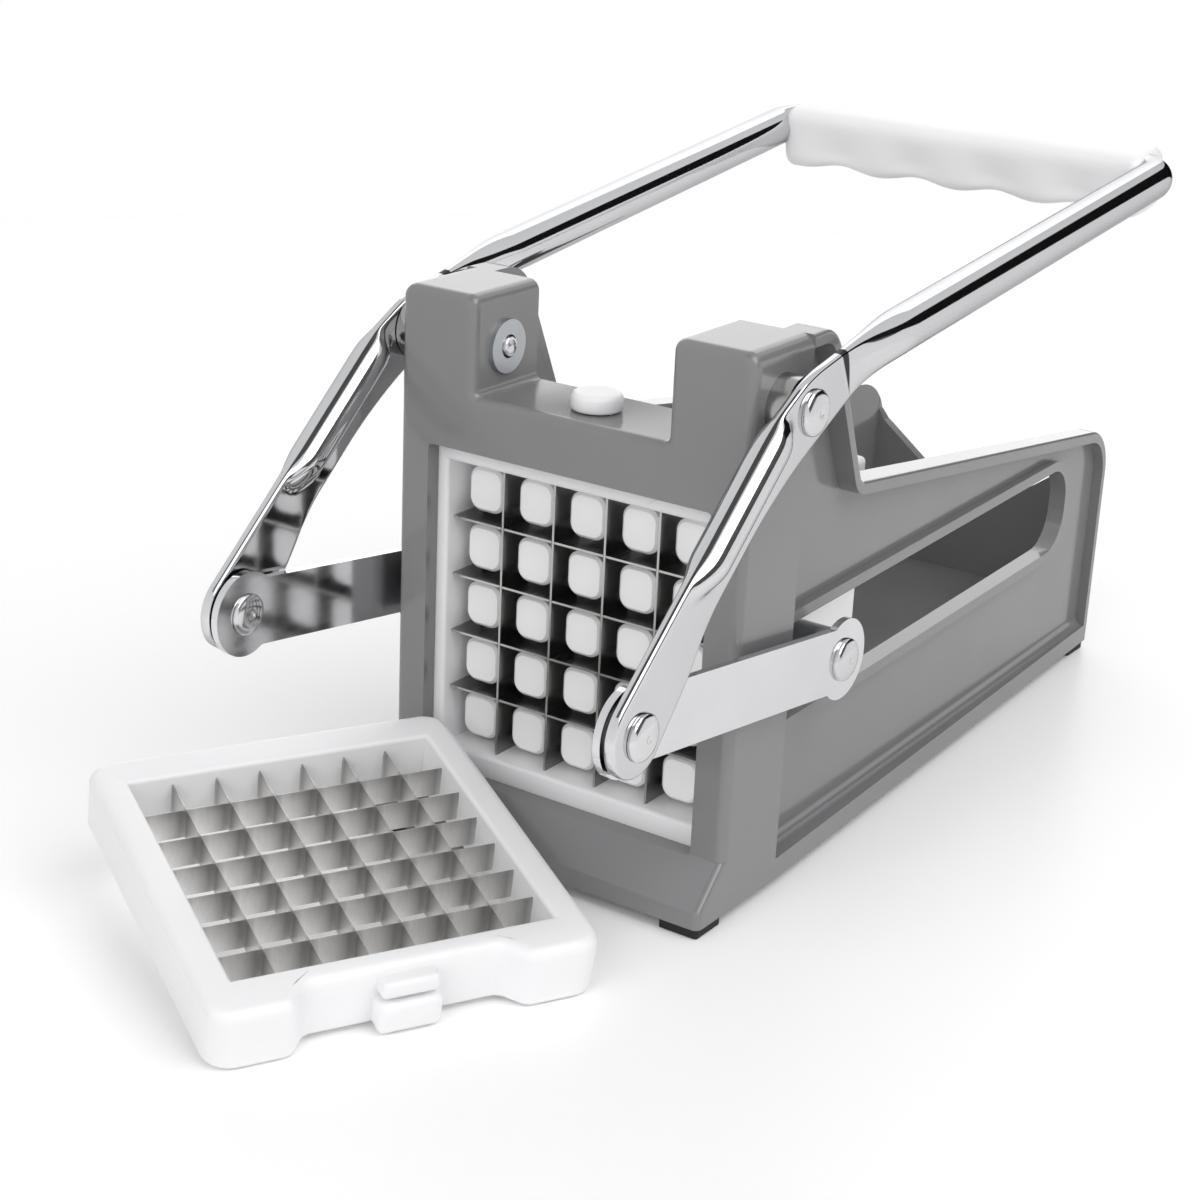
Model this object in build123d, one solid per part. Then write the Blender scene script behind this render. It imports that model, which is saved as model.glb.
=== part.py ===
"""Lever-operated french fry cutter: a long lever draws a pusher block through a slotted trough and
presses a potato through a square grid of blades.  A second, finer blade cassette leans on its toe.

Working axes while modelling: X across, Y from the front window to the rear, Z up from the table.
All lengths are in millimetres and all angles in degrees.
"""
from build123d import *
import os
from math import asin, atan2, cos, degrees, hypot, radians, sin, sqrt

# ---------------------------------------------------------------- housing: front frame
FRAME_SIDE_WALL = 3.2
FRAME_DEPTH = 22.5
FOOT_HEIGHT = 2.2
SHELF_OVER_CHANNEL = 5.7
SHELF_THICKNESS = 3.0
HORN_HEIGHT = 21.5
HORN_GAP = 48.0
FRONT_WALL = 3.7
FRAME_EDGE_RADIUS = 2.2
HORN_OUTER_RADIUS = 3.0
HORN_INNER_RADIUS = 2.5
SHELF_CORNER_RADIUS = 1.5
HORN_WALL = 3.0
WINDOW_SIDE_MARGIN = 2.5
WINDOW_LOWER_MARGIN = 4.8
WINDOW_UPPER_MARGIN = 4.2
WINDOW_CORNER_RADIUS = 1.0
TOE_REACH = 8.4
TOE_EDGE_Z = 5.9
TOE_OVER_WINDOW = 0.3
TOE_EDGE_RADIUS = 1.6

# ---------------------------------------------------------------- housing: trough and side walls
BODY_LENGTH = 204.0
FRONT_FLANGE = 5.1
REAR_FLANGE = 2.6
PANEL_THICKNESS = 2.4
FLOOR_THICKNESS = 2.5
BULKHEAD_THICKNESS = 3.0
REAR_WALL = 3.0
RIM_THICKNESS = 2.8
RIM_EDGE_RADIUS = 0.9
LEDGE_HEIGHT = 4.8
COVE_RADIUS = 2.2
EAR_TOP_Y = 33.2
EAR_TOP_RADIUS = 9.0
EAR_FOOT_Y = 50.3
EAR_FOOT_Z = 85.0
EAR_FOOT_RADIUS = 4.0
WALL_REAR_Z = 62.5
WALL_REAR_RADIUS = 14.0
DIP_BOTTOM_Z = 41.5
DIP_FLAT_HALF = 15.0
DIP_SHOULDER_X = 29.6
DIP_SHOULDER_Z = 52.6
DIP_SHOULDER_RISE = 3.0
DIP_RADIUS = 9.0
UNDERSIDE_RIBS = 3
RIB_THICKNESS = 2.0
RIB_SETBACK = 3.0
CORNER_PAD = 11.0

# ---------------------------------------------------------------- housing: side slots
SLOT_FRONT_ROOM = 8.1
SLOT_REAR_ROOM = 15.2
SLOT_UNDER_AXLE = 12.7
SLOT_OVER_AXLE = 9.4
SLOT_REAR_RADIUS = 9.5
SLOT_FRONT_RADIUS = 2.0
SLOT_LIP_WIDTH = 2.6
SLOT_LIP_HEIGHT = 2.0

# ---------------------------------------------------------------- blade cassettes
CASSETTE_DEPTH = 13.0
CASSETTE_SIDE_CLEARANCE = 0.3
CASSETTE_FACE_CLEARANCE = 0.2
CASSETTE_TOP_CLEARANCE = 0.5
CASSETTE_CORNER_RADIUS = 4.5
CASSETTE_EDGE_RADIUS = 1.2
GRID_Z = 51.8
APERTURE = 66.0
SIDE_RIM = 7.0
PLAIN_RIM = 9.0
LATCH_RIM = 10.0
LATCH_RECESS = 4.9
LATCH_RECESS_HALF = 20.0
LATCH_RECESS_SLOPE = 4.0
TAB_WIDTH = 13.0
TAB_UPPER_REACH = 3.4
TAB_LOWER_REACH = 4.4
TAB_TOP_INSET = 1.6
TAB_STEP_DEPTH = 6.4
TAB_GROOVE = 0.9
APERTURE_LEAD_IN = 1.2
STRIP_THICKNESS = 0.5
STRIP_DEPTH = 9.6
STRIP_SETBACK = 2.3
STRIP_SEAT = 1.6
STRIP_SLOT_CLEARANCE = 0.1
STRIP_LAP_CLEARANCE = 0.1
COARSE_CELLS = 5
FINE_CELLS = 7

# ---------------------------------------------------------------- pusher, axle and sleeves
FINGER_WIDTH = 9.2
FINGER_HEIGHT = 10.0
FINGER_RADIUS = 3.0
FINGER_EDGE = 0.7
FINGER_FRONT_Y = 8.8
PUSHER_PLATE_Y = 30.0
PUSHER_PLATE = 14.0
PUSHER_REAR_Y = 73.0
PUSHER_SIDE_CLEARANCE = 0.5
PUSHER_WALL = 2.6
PUSHER_FLOOR_GAP = 0.4
PUSHER_EDGE_RADIUS = 1.2
AXLE_RADIUS = 3.0
AXLE_UNDER_GRID = 2.4
AXLE_Y = 38.6
AXLE_LINK_GAP = 0.3
SLEEVE_RADIUS = 6.0
FIXED_FIT = 0.02
RUNNING_FIT = 0.05

# ---------------------------------------------------------------- lever linkage
PIVOT_Y = 11.0
PIVOT_UNDER_TOP = 12.2
CRANK_REACH = 56.4
CRANK_DROP = 49.9
LEVER_TRAVEL = 105.0
LINK_BODY_GAP = 2.4
LINK_THICKNESS = 1.6
LINK_WIDTH = 14.4
LINK_EYE_RADIUS = 9.0
LINK_WASHER = 0.5
LINK_WASHER_RADIUS = 6.2
LAYER_GAP = 0.1
ARM_THICKNESS = 2.4
RIVET_RADIUS = 2.5
RIVET_HEAD_RADIUS = 4.8
RIVET_HEAD_RIM = 0.4
RIVET_HEAD_HEIGHT = 1.3
RIVET_DIMPLE_RADIUS = 0.9
RIVET_DIMPLE_DEPTH = 0.35
INNER_HEAD_RADIUS = 4.4
PIVOT_WASHER_RADIUS = 5.8
PIVOT_WASHER = 1.0
PEEN_RADIUS = 3.3
PEEN_HEIGHT = 0.7
SPACER_RADIUS = 6.8
PIVOT_BOSS_RADIUS = 5.6

# ---------------------------------------------------------------- lever tube and grip
TUBE_RADIUS = 4.8
TUBE_OUTSET = 0.6
TUBE_SPLAY = 2.5
TUBE_START_Y = 38.0
TUBE_RISE = 4.6
TUBE_SLOPE = 0.123
TUBE_END_Y = 175.5
TUBE_BEND_RADIUS = 7.0
ARM_END_RADIUS = 8.7
ARM_END_SHIFT = 0.7
ARM_NECK_DISTANCE = 16.0
ARM_NECK_REACH = 5.8
ARM_WAIST_START = 27.0
ARM_WAIST_END = 50.0
ARM_WAIST_REACH = 2.3
ARM_HEEL_DISTANCE = 12.0
ARM_HEEL_REACH = 4.0
ARM_BROW_DISTANCE = 10.0
ARM_BROW_REACH = 9.6
ARM_NOTCH_PAST_PIVOT = 4.0
ARM_NOTCH_REACH = 6.4
ARM_NECK_RADIUS = 20.0
ARM_WAIST_RADIUS = 12.0
ARM_NOTCH_RADIUS = 8.0
ARM_BROW_RADIUS = 10.0
PLATE_TOP_PAST_PIVOT = 13.7
PLATE_TOP_REACH = 0.8
PLATE_LOW_PAST_PIVOT = 10.7
PLATE_LOW_REACH = 9.9
RIDGE_RADIUS = 3.6
RIDGE_START = 19.0
RIDGE_END = 69.0
RIDGE_TAPER = 9.0
RIDGE_OFFSET = 6.1
RIDGE_SINK = 0.2
RIDGE_ROUNDING = 15.0
GRIP_IN_BEND = 4.0
GRIP_DEPTH = 17.0
GRIP_OVER_TUBE = 0.6
GRIP_UNDER_TUBE = 5.5
GRIP_GROOVES = 4
GRIP_GROOVE_PITCH = 22.3
GRIP_GROOVE_DEPTH = 1.1
GRIP_EDGE_RADIUS = 4.0
GRIP_END_RADIUS = 2.0
GRIP_BORE_CLEARANCE = 0.05

# ---------------------------------------------------------------- knob and feet
KNOB_RADIUS = 6.6
KNOB_HEIGHT = 5.0
KNOB_Y = 10.7
KNOB_EDGE_RADIUS = 1.2
KNOB_SHELF_GAP = 0.3
TONGUE_WIDTH = 9.0
TONGUE_ENTRY = 2.5
TONGUE_CLEARANCE = 0.1
FOOT_SIZE = 9.5
FOOT_INSET = 0.6
FOOT_CORNER_RADIUS = 0.8
FOOT_PEG_RADIUS = 2.0
FOOT_PEG_LENGTH = 2.0

# ---------------------------------------------------------------- spare cassette, one corner on the toe
SPARE_TURN = -118.75
SPARE_CORNER_INSET = 1.7
SPARE_CORNER_PAST_TOE = 2.3
SPARE_REST_REACH = 80.6
SPARE_REST_GAP = 0.25

# ---------------------------------------------------------------- worked-out places
BASE_Z = FOOT_HEIGHT
CELL_PITCH = APERTURE / COARSE_CELLS
FINGER_REACH = (COARSE_CELLS - 1) / 2 * CELL_PITCH
CASSETTE_WIDTH = APERTURE + 2 * SIDE_RIM
CHANNEL_HALF = CASSETTE_WIDTH / 2 + CASSETTE_SIDE_CLEARANCE
FRAME_HALF = CHANNEL_HALF + FRAME_SIDE_WALL
WINDOW_HALF = APERTURE / 2 + WINDOW_SIDE_MARGIN
WINDOW_BOTTOM_Z = GRID_Z - APERTURE / 2 - WINDOW_LOWER_MARGIN
WINDOW_TOP_Z = GRID_Z + APERTURE / 2 + WINDOW_UPPER_MARGIN
FLOOR_Z = WINDOW_BOTTOM_Z
TOE_TOP_Z = WINDOW_BOTTOM_Z + TOE_OVER_WINDOW
PUSHER_HALF_WIDTH = FINGER_REACH + FINGER_WIDTH / 2
PUSHER_TOP_Z = GRID_Z + FINGER_REACH + FINGER_HEIGHT / 2
TROUGH_FRONT_HALF = FRAME_HALF - FRONT_FLANGE - PANEL_THICKNESS
TROUGH_REAR_HALF = PUSHER_HALF_WIDTH + PUSHER_SIDE_CLEARANCE
REAR_HALF_WIDTH = TROUGH_REAR_HALF + PANEL_THICKNESS + REAR_FLANGE
CHANNEL_REAR_Y = FRONT_WALL + CASSETTE_DEPTH + 2 * CASSETTE_FACE_CLEARANCE
CASSETTE_FRONT_Y = FRONT_WALL + CASSETTE_FACE_CLEARANCE
CASSETTE_TOP = APERTURE / 2 + LATCH_RIM
LATCH_PANEL = CASSETTE_TOP - LATCH_RECESS
CASSETTE_BOTTOM = APERTURE / 2 + PLAIN_RIM
CHANNEL_TOP_Z = GRID_Z + CASSETTE_TOP + CASSETTE_TOP_CLEARANCE
SHELF_Z = CHANNEL_TOP_Z + SHELF_OVER_CHANNEL
HORN_TOP_Z = SHELF_Z + HORN_HEIGHT
PIVOT_Z = HORN_TOP_Z - PIVOT_UNDER_TOP
CRANK_Y = PIVOT_Y - CRANK_REACH
CRANK_Z = PIVOT_Z - CRANK_DROP
AXLE_Z = GRID_Z - AXLE_UNDER_GRID
LINK_INNER_X = FRAME_HALF + LINK_BODY_GAP
LINK_OUTER_X = LINK_INNER_X + LINK_THICKNESS
ARM_INNER_X = LINK_OUTER_X + LINK_WASHER + 2 * LAYER_GAP
ARM_OUTER_X = ARM_INNER_X + ARM_THICKNESS
ARM_MIDDLE_X = (ARM_INNER_X + ARM_OUTER_X) / 2
AXLE_END_X = LINK_INNER_X - AXLE_LINK_GAP
TUBE_CENTRE_X = ARM_MIDDLE_X + TUBE_OUTSET
TUBE_REAR_X = TUBE_CENTRE_X + TUBE_SPLAY
LEVER_LENGTH = hypot(CRANK_REACH, CRANK_DROP)
LINK_LENGTH = hypot(AXLE_Y - CRANK_Y, AXLE_Z - CRANK_Z)
RUNNING_BORE = RIVET_RADIUS + RUNNING_FIT


def crank_at(turn):
    """Place (y, z) of the lever's lower pin when the lever has turned by this many degrees."""
    y, z = CRANK_Y - PIVOT_Y, CRANK_Z - PIVOT_Z
    c, s = cos(radians(turn)), sin(radians(turn))
    return PIVOT_Y + y * c - z * s, PIVOT_Z + y * s + z * c


CRANK_END_Y, CRANK_END_Z = crank_at(LEVER_TRAVEL)
AXLE_END_Y = CRANK_END_Y + sqrt(LINK_LENGTH**2 - (CRANK_END_Z - AXLE_Z) ** 2)
PUSHER_STROKE = AXLE_END_Y - AXLE_Y
SLOT_FRONT_Y = AXLE_Y - SLEEVE_RADIUS - SLOT_FRONT_ROOM
SLOT_REAR_Y = AXLE_END_Y + SLEEVE_RADIUS + SLOT_REAR_ROOM
SLOT_BOTTOM_Z = AXLE_Z - SLOT_UNDER_AXLE
SLOT_TOP_Z = AXLE_Z + SLOT_OVER_AXLE
LINK_REST_ANGLE = degrees(atan2(AXLE_Z - CRANK_Z, AXLE_Y - CRANK_Y))
LINK_END_ANGLE = degrees(atan2(AXLE_Z - CRANK_END_Z, AXLE_END_Y - CRANK_END_Y))
LINK_TURN = LINK_END_ANGLE - LINK_REST_ANGLE - LEVER_TRAVEL


# ---------------------------------------------------------------- helpers
def prism_x(face, start, end):
    """Extrude a face drawn in (y, z) along X."""
    return Pos(start, 0, 0) * extrude(Plane.YZ * face, end - start)


def prism_y(face, start, end):
    """Extrude a face drawn in (x, z) along Y."""
    return Pos(0, start, 0) * extrude(Plane.XZ * face, start - end)


def prism_z(face, start, end):
    """Extrude a face drawn in (x, y) along Z."""
    return Pos(0, 0, start) * extrude(face, end - start)


def outline(*points):
    """Closed flat face through the points."""
    return make_face(Polyline(*points, close=True))


def rounded(face, corners):
    """Round the corners of a flat face: pairs of (corner point, radius)."""
    for point, radius in corners:
        corner = min(face.vertices(), key=lambda v: (v.X - point[0]) ** 2 + (v.Y - point[1]) ** 2)
        face = fillet(corner, radius)
    return face


def box_between(low, high):
    """Box from its lowest to its highest corner."""
    size = [b - a for a, b in zip(low, high)]
    return Pos(*low) * Box(*size, align=(Align.MIN, Align.MIN, Align.MIN))


def rod_x(radius, start, end, y, z):
    """Round rod along X."""
    return Pos(start, y, z) * extrude(Plane.YZ * Circle(radius), end - start)


def both_sides(solid):
    """The solid and its mirror image across the middle plane."""
    return [solid, mirror(solid, Plane.YZ)]


def group(pieces):
    """Several separate solids as one node."""
    return Compound([solid for piece in pieces for solid in piece.solids()])


def turned(profile, y, z):
    """Body turned about an axis along X from a profile drawn as (x, radius)."""
    return Pos(0, y, z) * revolve(make_face(profile), Axis.X)


def domed_end(x, radius, way=1):
    """Profile of a domed rivet head from x towards +X or, with way = -1, towards -X: rim, dome, dimple."""
    sphere = (radius**2 + RIVET_HEAD_HEIGHT**2) / (2 * RIVET_HEAD_HEIGHT)
    centre = RIVET_HEAD_RIM + RIVET_HEAD_HEIGHT - sphere

    def on_dome(distance):
        return x + way * (centre + sqrt(sphere**2 - distance**2)), distance

    rim, dimple = (x + way * RIVET_HEAD_RIM, radius), on_dome(RIVET_DIMPLE_RADIUS)
    arc = ThreePointArc(rim, on_dome((radius + RIVET_DIMPLE_RADIUS) / 2), dimple)
    return Line((x, radius), rim) + arc + Line(dimple, (dimple[0] - way * RIVET_DIMPLE_DEPTH, 0))


# ---------------------------------------------------------------- housing
def side_profile():
    """Side outline of the housing in (y, z)."""
    face = outline(
        (0, BASE_Z),
        (0, HORN_TOP_Z),
        (EAR_TOP_Y, HORN_TOP_Z),
        (EAR_FOOT_Y, EAR_FOOT_Z),
        (BODY_LENGTH, WALL_REAR_Z),
        (BODY_LENGTH, BASE_Z),
    )
    return rounded(
        face,
        [
            ((EAR_TOP_Y, HORN_TOP_Z), EAR_TOP_RADIUS),
            ((EAR_FOOT_Y, EAR_FOOT_Z), EAR_FOOT_RADIUS),
            ((BODY_LENGTH, WALL_REAR_Z), WALL_REAR_RADIUS),
        ],
    )


def plan(front_half, rear_half, start=FRAME_DEPTH, end=BODY_LENGTH):
    """Tapered plan outline, with its half widths given at the frame's back and at the rear end."""
    def half_at(y):
        share = (y - FRAME_DEPTH) / (BODY_LENGTH - FRAME_DEPTH)
        return front_half + (rear_half - front_half) * share

    a, b = half_at(start), half_at(end)
    return outline((-a, start), (a, start), (b, end), (-b, end))


def front_frame():
    """Frame block with its two horns, the shelf between them and the sloping toe."""
    half, gap = FRAME_HALF, HORN_GAP / 2
    front = outline(
        (-half, BASE_Z), (-half, HORN_TOP_Z), (-gap, HORN_TOP_Z), (-gap, SHELF_Z),
        (gap, SHELF_Z), (gap, HORN_TOP_Z), (half, HORN_TOP_Z), (half, BASE_Z),
    )
    corners = []
    for side in (-1, 1):
        corners += [
            ((side * half, HORN_TOP_Z), HORN_OUTER_RADIUS),
            ((side * gap, HORN_TOP_Z), HORN_INNER_RADIUS),
            ((side * gap, SHELF_Z), SHELF_CORNER_RADIUS),
        ]
    block = prism_y(rounded(front, corners), 0, FRAME_DEPTH)
    front_edges = block.edges().filter_by_position(Axis.Y, 0, 0)
    block = fillet(front_edges.filter_by(lambda e: e.center().Z > BASE_Z + 1), FRAME_EDGE_RADIUS)
    toe = outline(
        (FRAME_EDGE_RADIUS, BASE_Z),
        (-TOE_REACH, BASE_Z),
        (-TOE_REACH, TOE_EDGE_Z),
        (0, TOE_TOP_Z),
        (FRAME_EDGE_RADIUS, TOE_TOP_Z),
    )
    toe = rounded(toe, [((-TOE_REACH, TOE_EDGE_Z), TOE_EDGE_RADIUS)])
    toe_block = prism_x(toe, -half, half)
    toe_sides = toe_block.faces().filter_by(Axis.X).edges().filter_by(
        lambda e: e.center().Y < -0.01 and e.center().Z > BASE_Z + 0.01
    )
    toe_block = fillet(toe_sides, TOE_EDGE_RADIUS)
    return block + toe_block


def side_recesses():
    """Space between the outward flanges of each side wall, outside its thin panel."""
    inset = offset(side_profile(), amount=-RIM_THICKNESS)
    window = outline(
        (FRAME_DEPTH, BASE_Z + LEDGE_HEIGHT),
        (BODY_LENGTH, BASE_Z + LEDGE_HEIGHT),
        (BODY_LENGTH, HORN_TOP_Z),
        (FRAME_DEPTH, HORN_TOP_Z),
    )
    pocket = prism_x(inset & window, 0, FRAME_HALF + 1)
    panel = prism_z(
        plan(TROUGH_FRONT_HALF + PANEL_THICKNESS, TROUGH_REAR_HALF + PANEL_THICKNESS, 0, BODY_LENGTH + 1),
        0,
        HORN_TOP_Z + 1,
    )
    pocket = pocket - panel
    foot_edge = pocket.edges().sort_by(Axis.Z)[:4].sort_by(Axis.X)[0]
    return both_sides(fillet(foot_edge, COVE_RADIUS))


def slot_face(grow=0.0):
    """Side slot in (y, z), grown outward for its raised lip."""
    front = max(SLOT_FRONT_Y - grow, FRAME_DEPTH)
    rear, low, high = SLOT_REAR_Y + grow, SLOT_BOTTOM_Z - grow, SLOT_TOP_Z + grow
    face = outline((front, low), (rear, low), (rear, high), (front, high))
    return rounded(
        face,
        [
            ((rear, low), SLOT_REAR_RADIUS + grow),
            ((rear, high), SLOT_REAR_RADIUS + grow),
            ((front, low), SLOT_FRONT_RADIUS),
            ((front, high), SLOT_FRONT_RADIUS),
        ],
    )


def slot_lips():
    """Raised lips round the side slots, on the outside of the panels."""
    outer = TROUGH_FRONT_HALF + PANEL_THICKNESS + SLOT_LIP_HEIGHT
    outer_rear = TROUGH_REAR_HALF + PANEL_THICKNESS + SLOT_LIP_HEIGHT
    band = prism_z(plan(outer, outer_rear), 0, HORN_TOP_Z) - prism_z(
        plan(TROUGH_FRONT_HALF, TROUGH_REAR_HALF), 0, HORN_TOP_Z
    )
    return prism_x(slot_face(SLOT_LIP_WIDTH), -FRAME_HALF, FRAME_HALF) & band


def rear_dip():
    """Cut that lowers the middle of the rear wall."""
    top = HORN_TOP_Z
    face = outline(
        (-TROUGH_REAR_HALF, top),
        (-TROUGH_REAR_HALF, DIP_SHOULDER_Z + DIP_SHOULDER_RISE),
        (-DIP_SHOULDER_X, DIP_SHOULDER_Z),
        (-DIP_FLAT_HALF, DIP_BOTTOM_Z),
        (DIP_FLAT_HALF, DIP_BOTTOM_Z),
        (DIP_SHOULDER_X, DIP_SHOULDER_Z),
        (TROUGH_REAR_HALF, DIP_SHOULDER_Z + DIP_SHOULDER_RISE),
        (TROUGH_REAR_HALF, top),
    )
    corners = [((side * DIP_FLAT_HALF, DIP_BOTTOM_Z), DIP_RADIUS) for side in (-1, 1)]
    return prism_y(rounded(face, corners), BODY_LENGTH - 2 * REAR_WALL, BODY_LENGTH + 1)


def underside():
    """Hollow below the trough floor, with cross ribs and solid corners over the rear feet."""
    start = CHANNEL_REAR_Y + BULKHEAD_THICKNESS
    end = BODY_LENGTH - REAR_WALL
    top = FLOOR_Z - FLOOR_THICKNESS
    hollow = prism_z(plan(TROUGH_FRONT_HALF, TROUGH_REAR_HALF, start, end), 0, top)
    spacing = (end - start) / (UNDERSIDE_RIBS + 1)
    for number in range(1, UNDERSIDE_RIBS + 1):
        y = start + number * spacing
        hollow -= box_between(
            (-FRAME_HALF, y - RIB_THICKNESS / 2, BASE_Z + RIB_SETBACK), (FRAME_HALF, y + RIB_THICKNESS / 2, top)
        )
    corner_start = (REAR_HALF_WIDTH - CORNER_PAD, BODY_LENGTH - CORNER_PAD, 0)
    for corner in both_sides(box_between(corner_start, (FRAME_HALF, BODY_LENGTH, top))):
        hollow -= corner
    return hollow


def housing():
    half, gap = FRAME_HALF, HORN_GAP / 2
    walls = prism_x(side_profile(), -half, half) & prism_z(plan(half, REAR_HALF_WIDTH), 0, HORN_TOP_Z + 1)
    rim_edges = walls.edges().filter_by(
        lambda e: abs(e.center().X) > REAR_HALF_WIDTH - 1
        and e.center().Y > FRAME_DEPTH + 1
        and e.center().Z > BASE_Z + 1
    )
    walls = fillet(rim_edges, RIM_EDGE_RADIUS)
    for pocket in side_recesses():
        walls -= pocket
    walls += slot_lips()
    body = front_frame() + walls
    sky = HORN_TOP_Z + 1
    trough = plan(TROUGH_FRONT_HALF, TROUGH_REAR_HALF, FRAME_DEPTH, BODY_LENGTH - REAR_WALL)
    body -= prism_z(trough, FLOOR_Z, sky)
    under_shelf = SHELF_Z - SHELF_THICKNESS
    body -= box_between(
        (-TROUGH_FRONT_HALF, CHANNEL_REAR_Y - 1, FLOOR_Z), (TROUGH_FRONT_HALF, FRAME_DEPTH + 1, under_shelf)
    )
    body -= box_between((-CHANNEL_HALF, FRONT_WALL, 0), (CHANNEL_HALF, CHANNEL_REAR_Y, CHANNEL_TOP_Z))
    opening = outline(
        (-WINDOW_HALF, WINDOW_BOTTOM_Z), (WINDOW_HALF, WINDOW_BOTTOM_Z),
        (WINDOW_HALF, WINDOW_TOP_Z), (-WINDOW_HALF, WINDOW_TOP_Z),
    )
    opening = fillet(opening.vertices(), WINDOW_CORNER_RADIUS)
    body -= prism_y(opening, -1, FRONT_WALL + 1)
    body -= underside()
    body -= rear_dip()
    body -= prism_x(slot_face(), -LINK_INNER_X, LINK_INNER_X)
    pocket_start = (gap + HORN_WALL, HORN_WALL, SHELF_Z + HORN_WALL)
    pocket_end = (TROUGH_FRONT_HALF, FRAME_DEPTH + 1, HORN_TOP_Z - HORN_WALL)
    for pocket in both_sides(box_between(pocket_start, pocket_end)):
        body -= pocket
    for boss in both_sides(rod_x(PIVOT_BOSS_RADIUS, gap + 1, half - 1, PIVOT_Y, PIVOT_Z)):
        body += boss
    body -= rod_x(RUNNING_BORE, -half - 1, half + 1, PIVOT_Y, PIVOT_Z)
    body -= tongue(TONGUE_CLEARANCE)
    for x, y in foot_places():
        body -= Pos(x, y, BASE_Z) * Cylinder(
            FOOT_PEG_RADIUS, FOOT_PEG_LENGTH, align=(Align.CENTER, Align.CENTER, Align.MIN)
        )
    return body


# ---------------------------------------------------------------- feet and knob
def foot_places():
    """Centres of the four feet: the two front ones, then the two rear ones."""
    reach = FOOT_SIZE / 2 + FOOT_INSET
    front = (FRAME_HALF - reach, reach - TOE_REACH)
    rear = (REAR_HALF_WIDTH - reach, BODY_LENGTH - reach)
    return [(side * x, y) for x, y in (front, rear) for side in (-1, 1)]


def foot(x, y):
    pad = extrude(RectangleRounded(FOOT_SIZE, FOOT_SIZE, FOOT_CORNER_RADIUS), BASE_Z)
    peg = Pos(0, 0, BASE_Z) * Cylinder(
        FOOT_PEG_RADIUS - FIXED_FIT, FOOT_PEG_LENGTH - FIXED_FIT, align=(Align.CENTER, Align.CENTER, Align.MIN)
    )
    return Pos(x, y, 0) * (pad + peg)


def tongue(grow=0.0):
    """Flat tongue of the knob in the shelf and in the cassette tab's groove, grown for its slot."""
    half, thick = TONGUE_WIDTH / 2 + grow, TAB_GROOVE / 2 - TONGUE_CLEARANCE + grow
    middle = CASSETTE_FRONT_Y + TAB_STEP_DEPTH - TAB_GROOVE / 2
    bottom = GRID_Z + LATCH_PANEL + TAB_UPPER_REACH - TONGUE_ENTRY
    return box_between((-half, middle - thick, bottom - grow), (half, middle + thick, SHELF_Z + 1))


def lock_knob():
    """Round knob on the shelf; its tongue reaches down into the groove of the cassette's tab."""
    cap = Pos(0, 0, SHELF_Z + KNOB_SHELF_GAP) * Cylinder(
        KNOB_RADIUS, KNOB_HEIGHT, align=(Align.CENTER, Align.CENTER, Align.MIN)
    )
    cap = fillet(cap.edges().sort_by(Axis.Z)[-1], KNOB_EDGE_RADIUS)
    return Pos(0, KNOB_Y, 0) * cap + tongue()


# ---------------------------------------------------------------- blade cassettes
def strip_offsets(cells):
    """Distances of the strips from the middle of the grid."""
    pitch = APERTURE / cells
    return [(number - cells / 2) * pitch for number in range(1, cells)]


def strip(cells, lap_from_front):
    """One strip along X at the origin, its front edge at z = 0, with half laps for the crossing strips."""
    length = APERTURE + 2 * (STRIP_SEAT - STRIP_SLOT_CLEARANCE)
    face = Pos(0, -STRIP_DEPTH / 2) * Rectangle(length, STRIP_DEPTH)
    lap = STRIP_DEPTH / 2 + STRIP_LAP_CLEARANCE
    middle = -lap / 2 if lap_from_front else lap / 2 - STRIP_DEPTH
    for x in strip_offsets(cells):
        face -= Pos(x, middle) * Rectangle(STRIP_THICKNESS + 2 * STRIP_LAP_CLEARANCE, lap)
    return prism_y(face, -STRIP_THICKNESS / 2, STRIP_THICKNESS / 2)


def strips(cells, vertical):
    """All strips that run one way, in the cassette's own axes."""
    seat = -STRIP_SETBACK
    if vertical:
        return [Pos(x, 0, seat) * Rot(0, 0, 90) * strip(cells, False) for x in strip_offsets(cells)]
    return [Pos(0, y, seat) * strip(cells, True) for y in strip_offsets(cells)]


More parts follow.
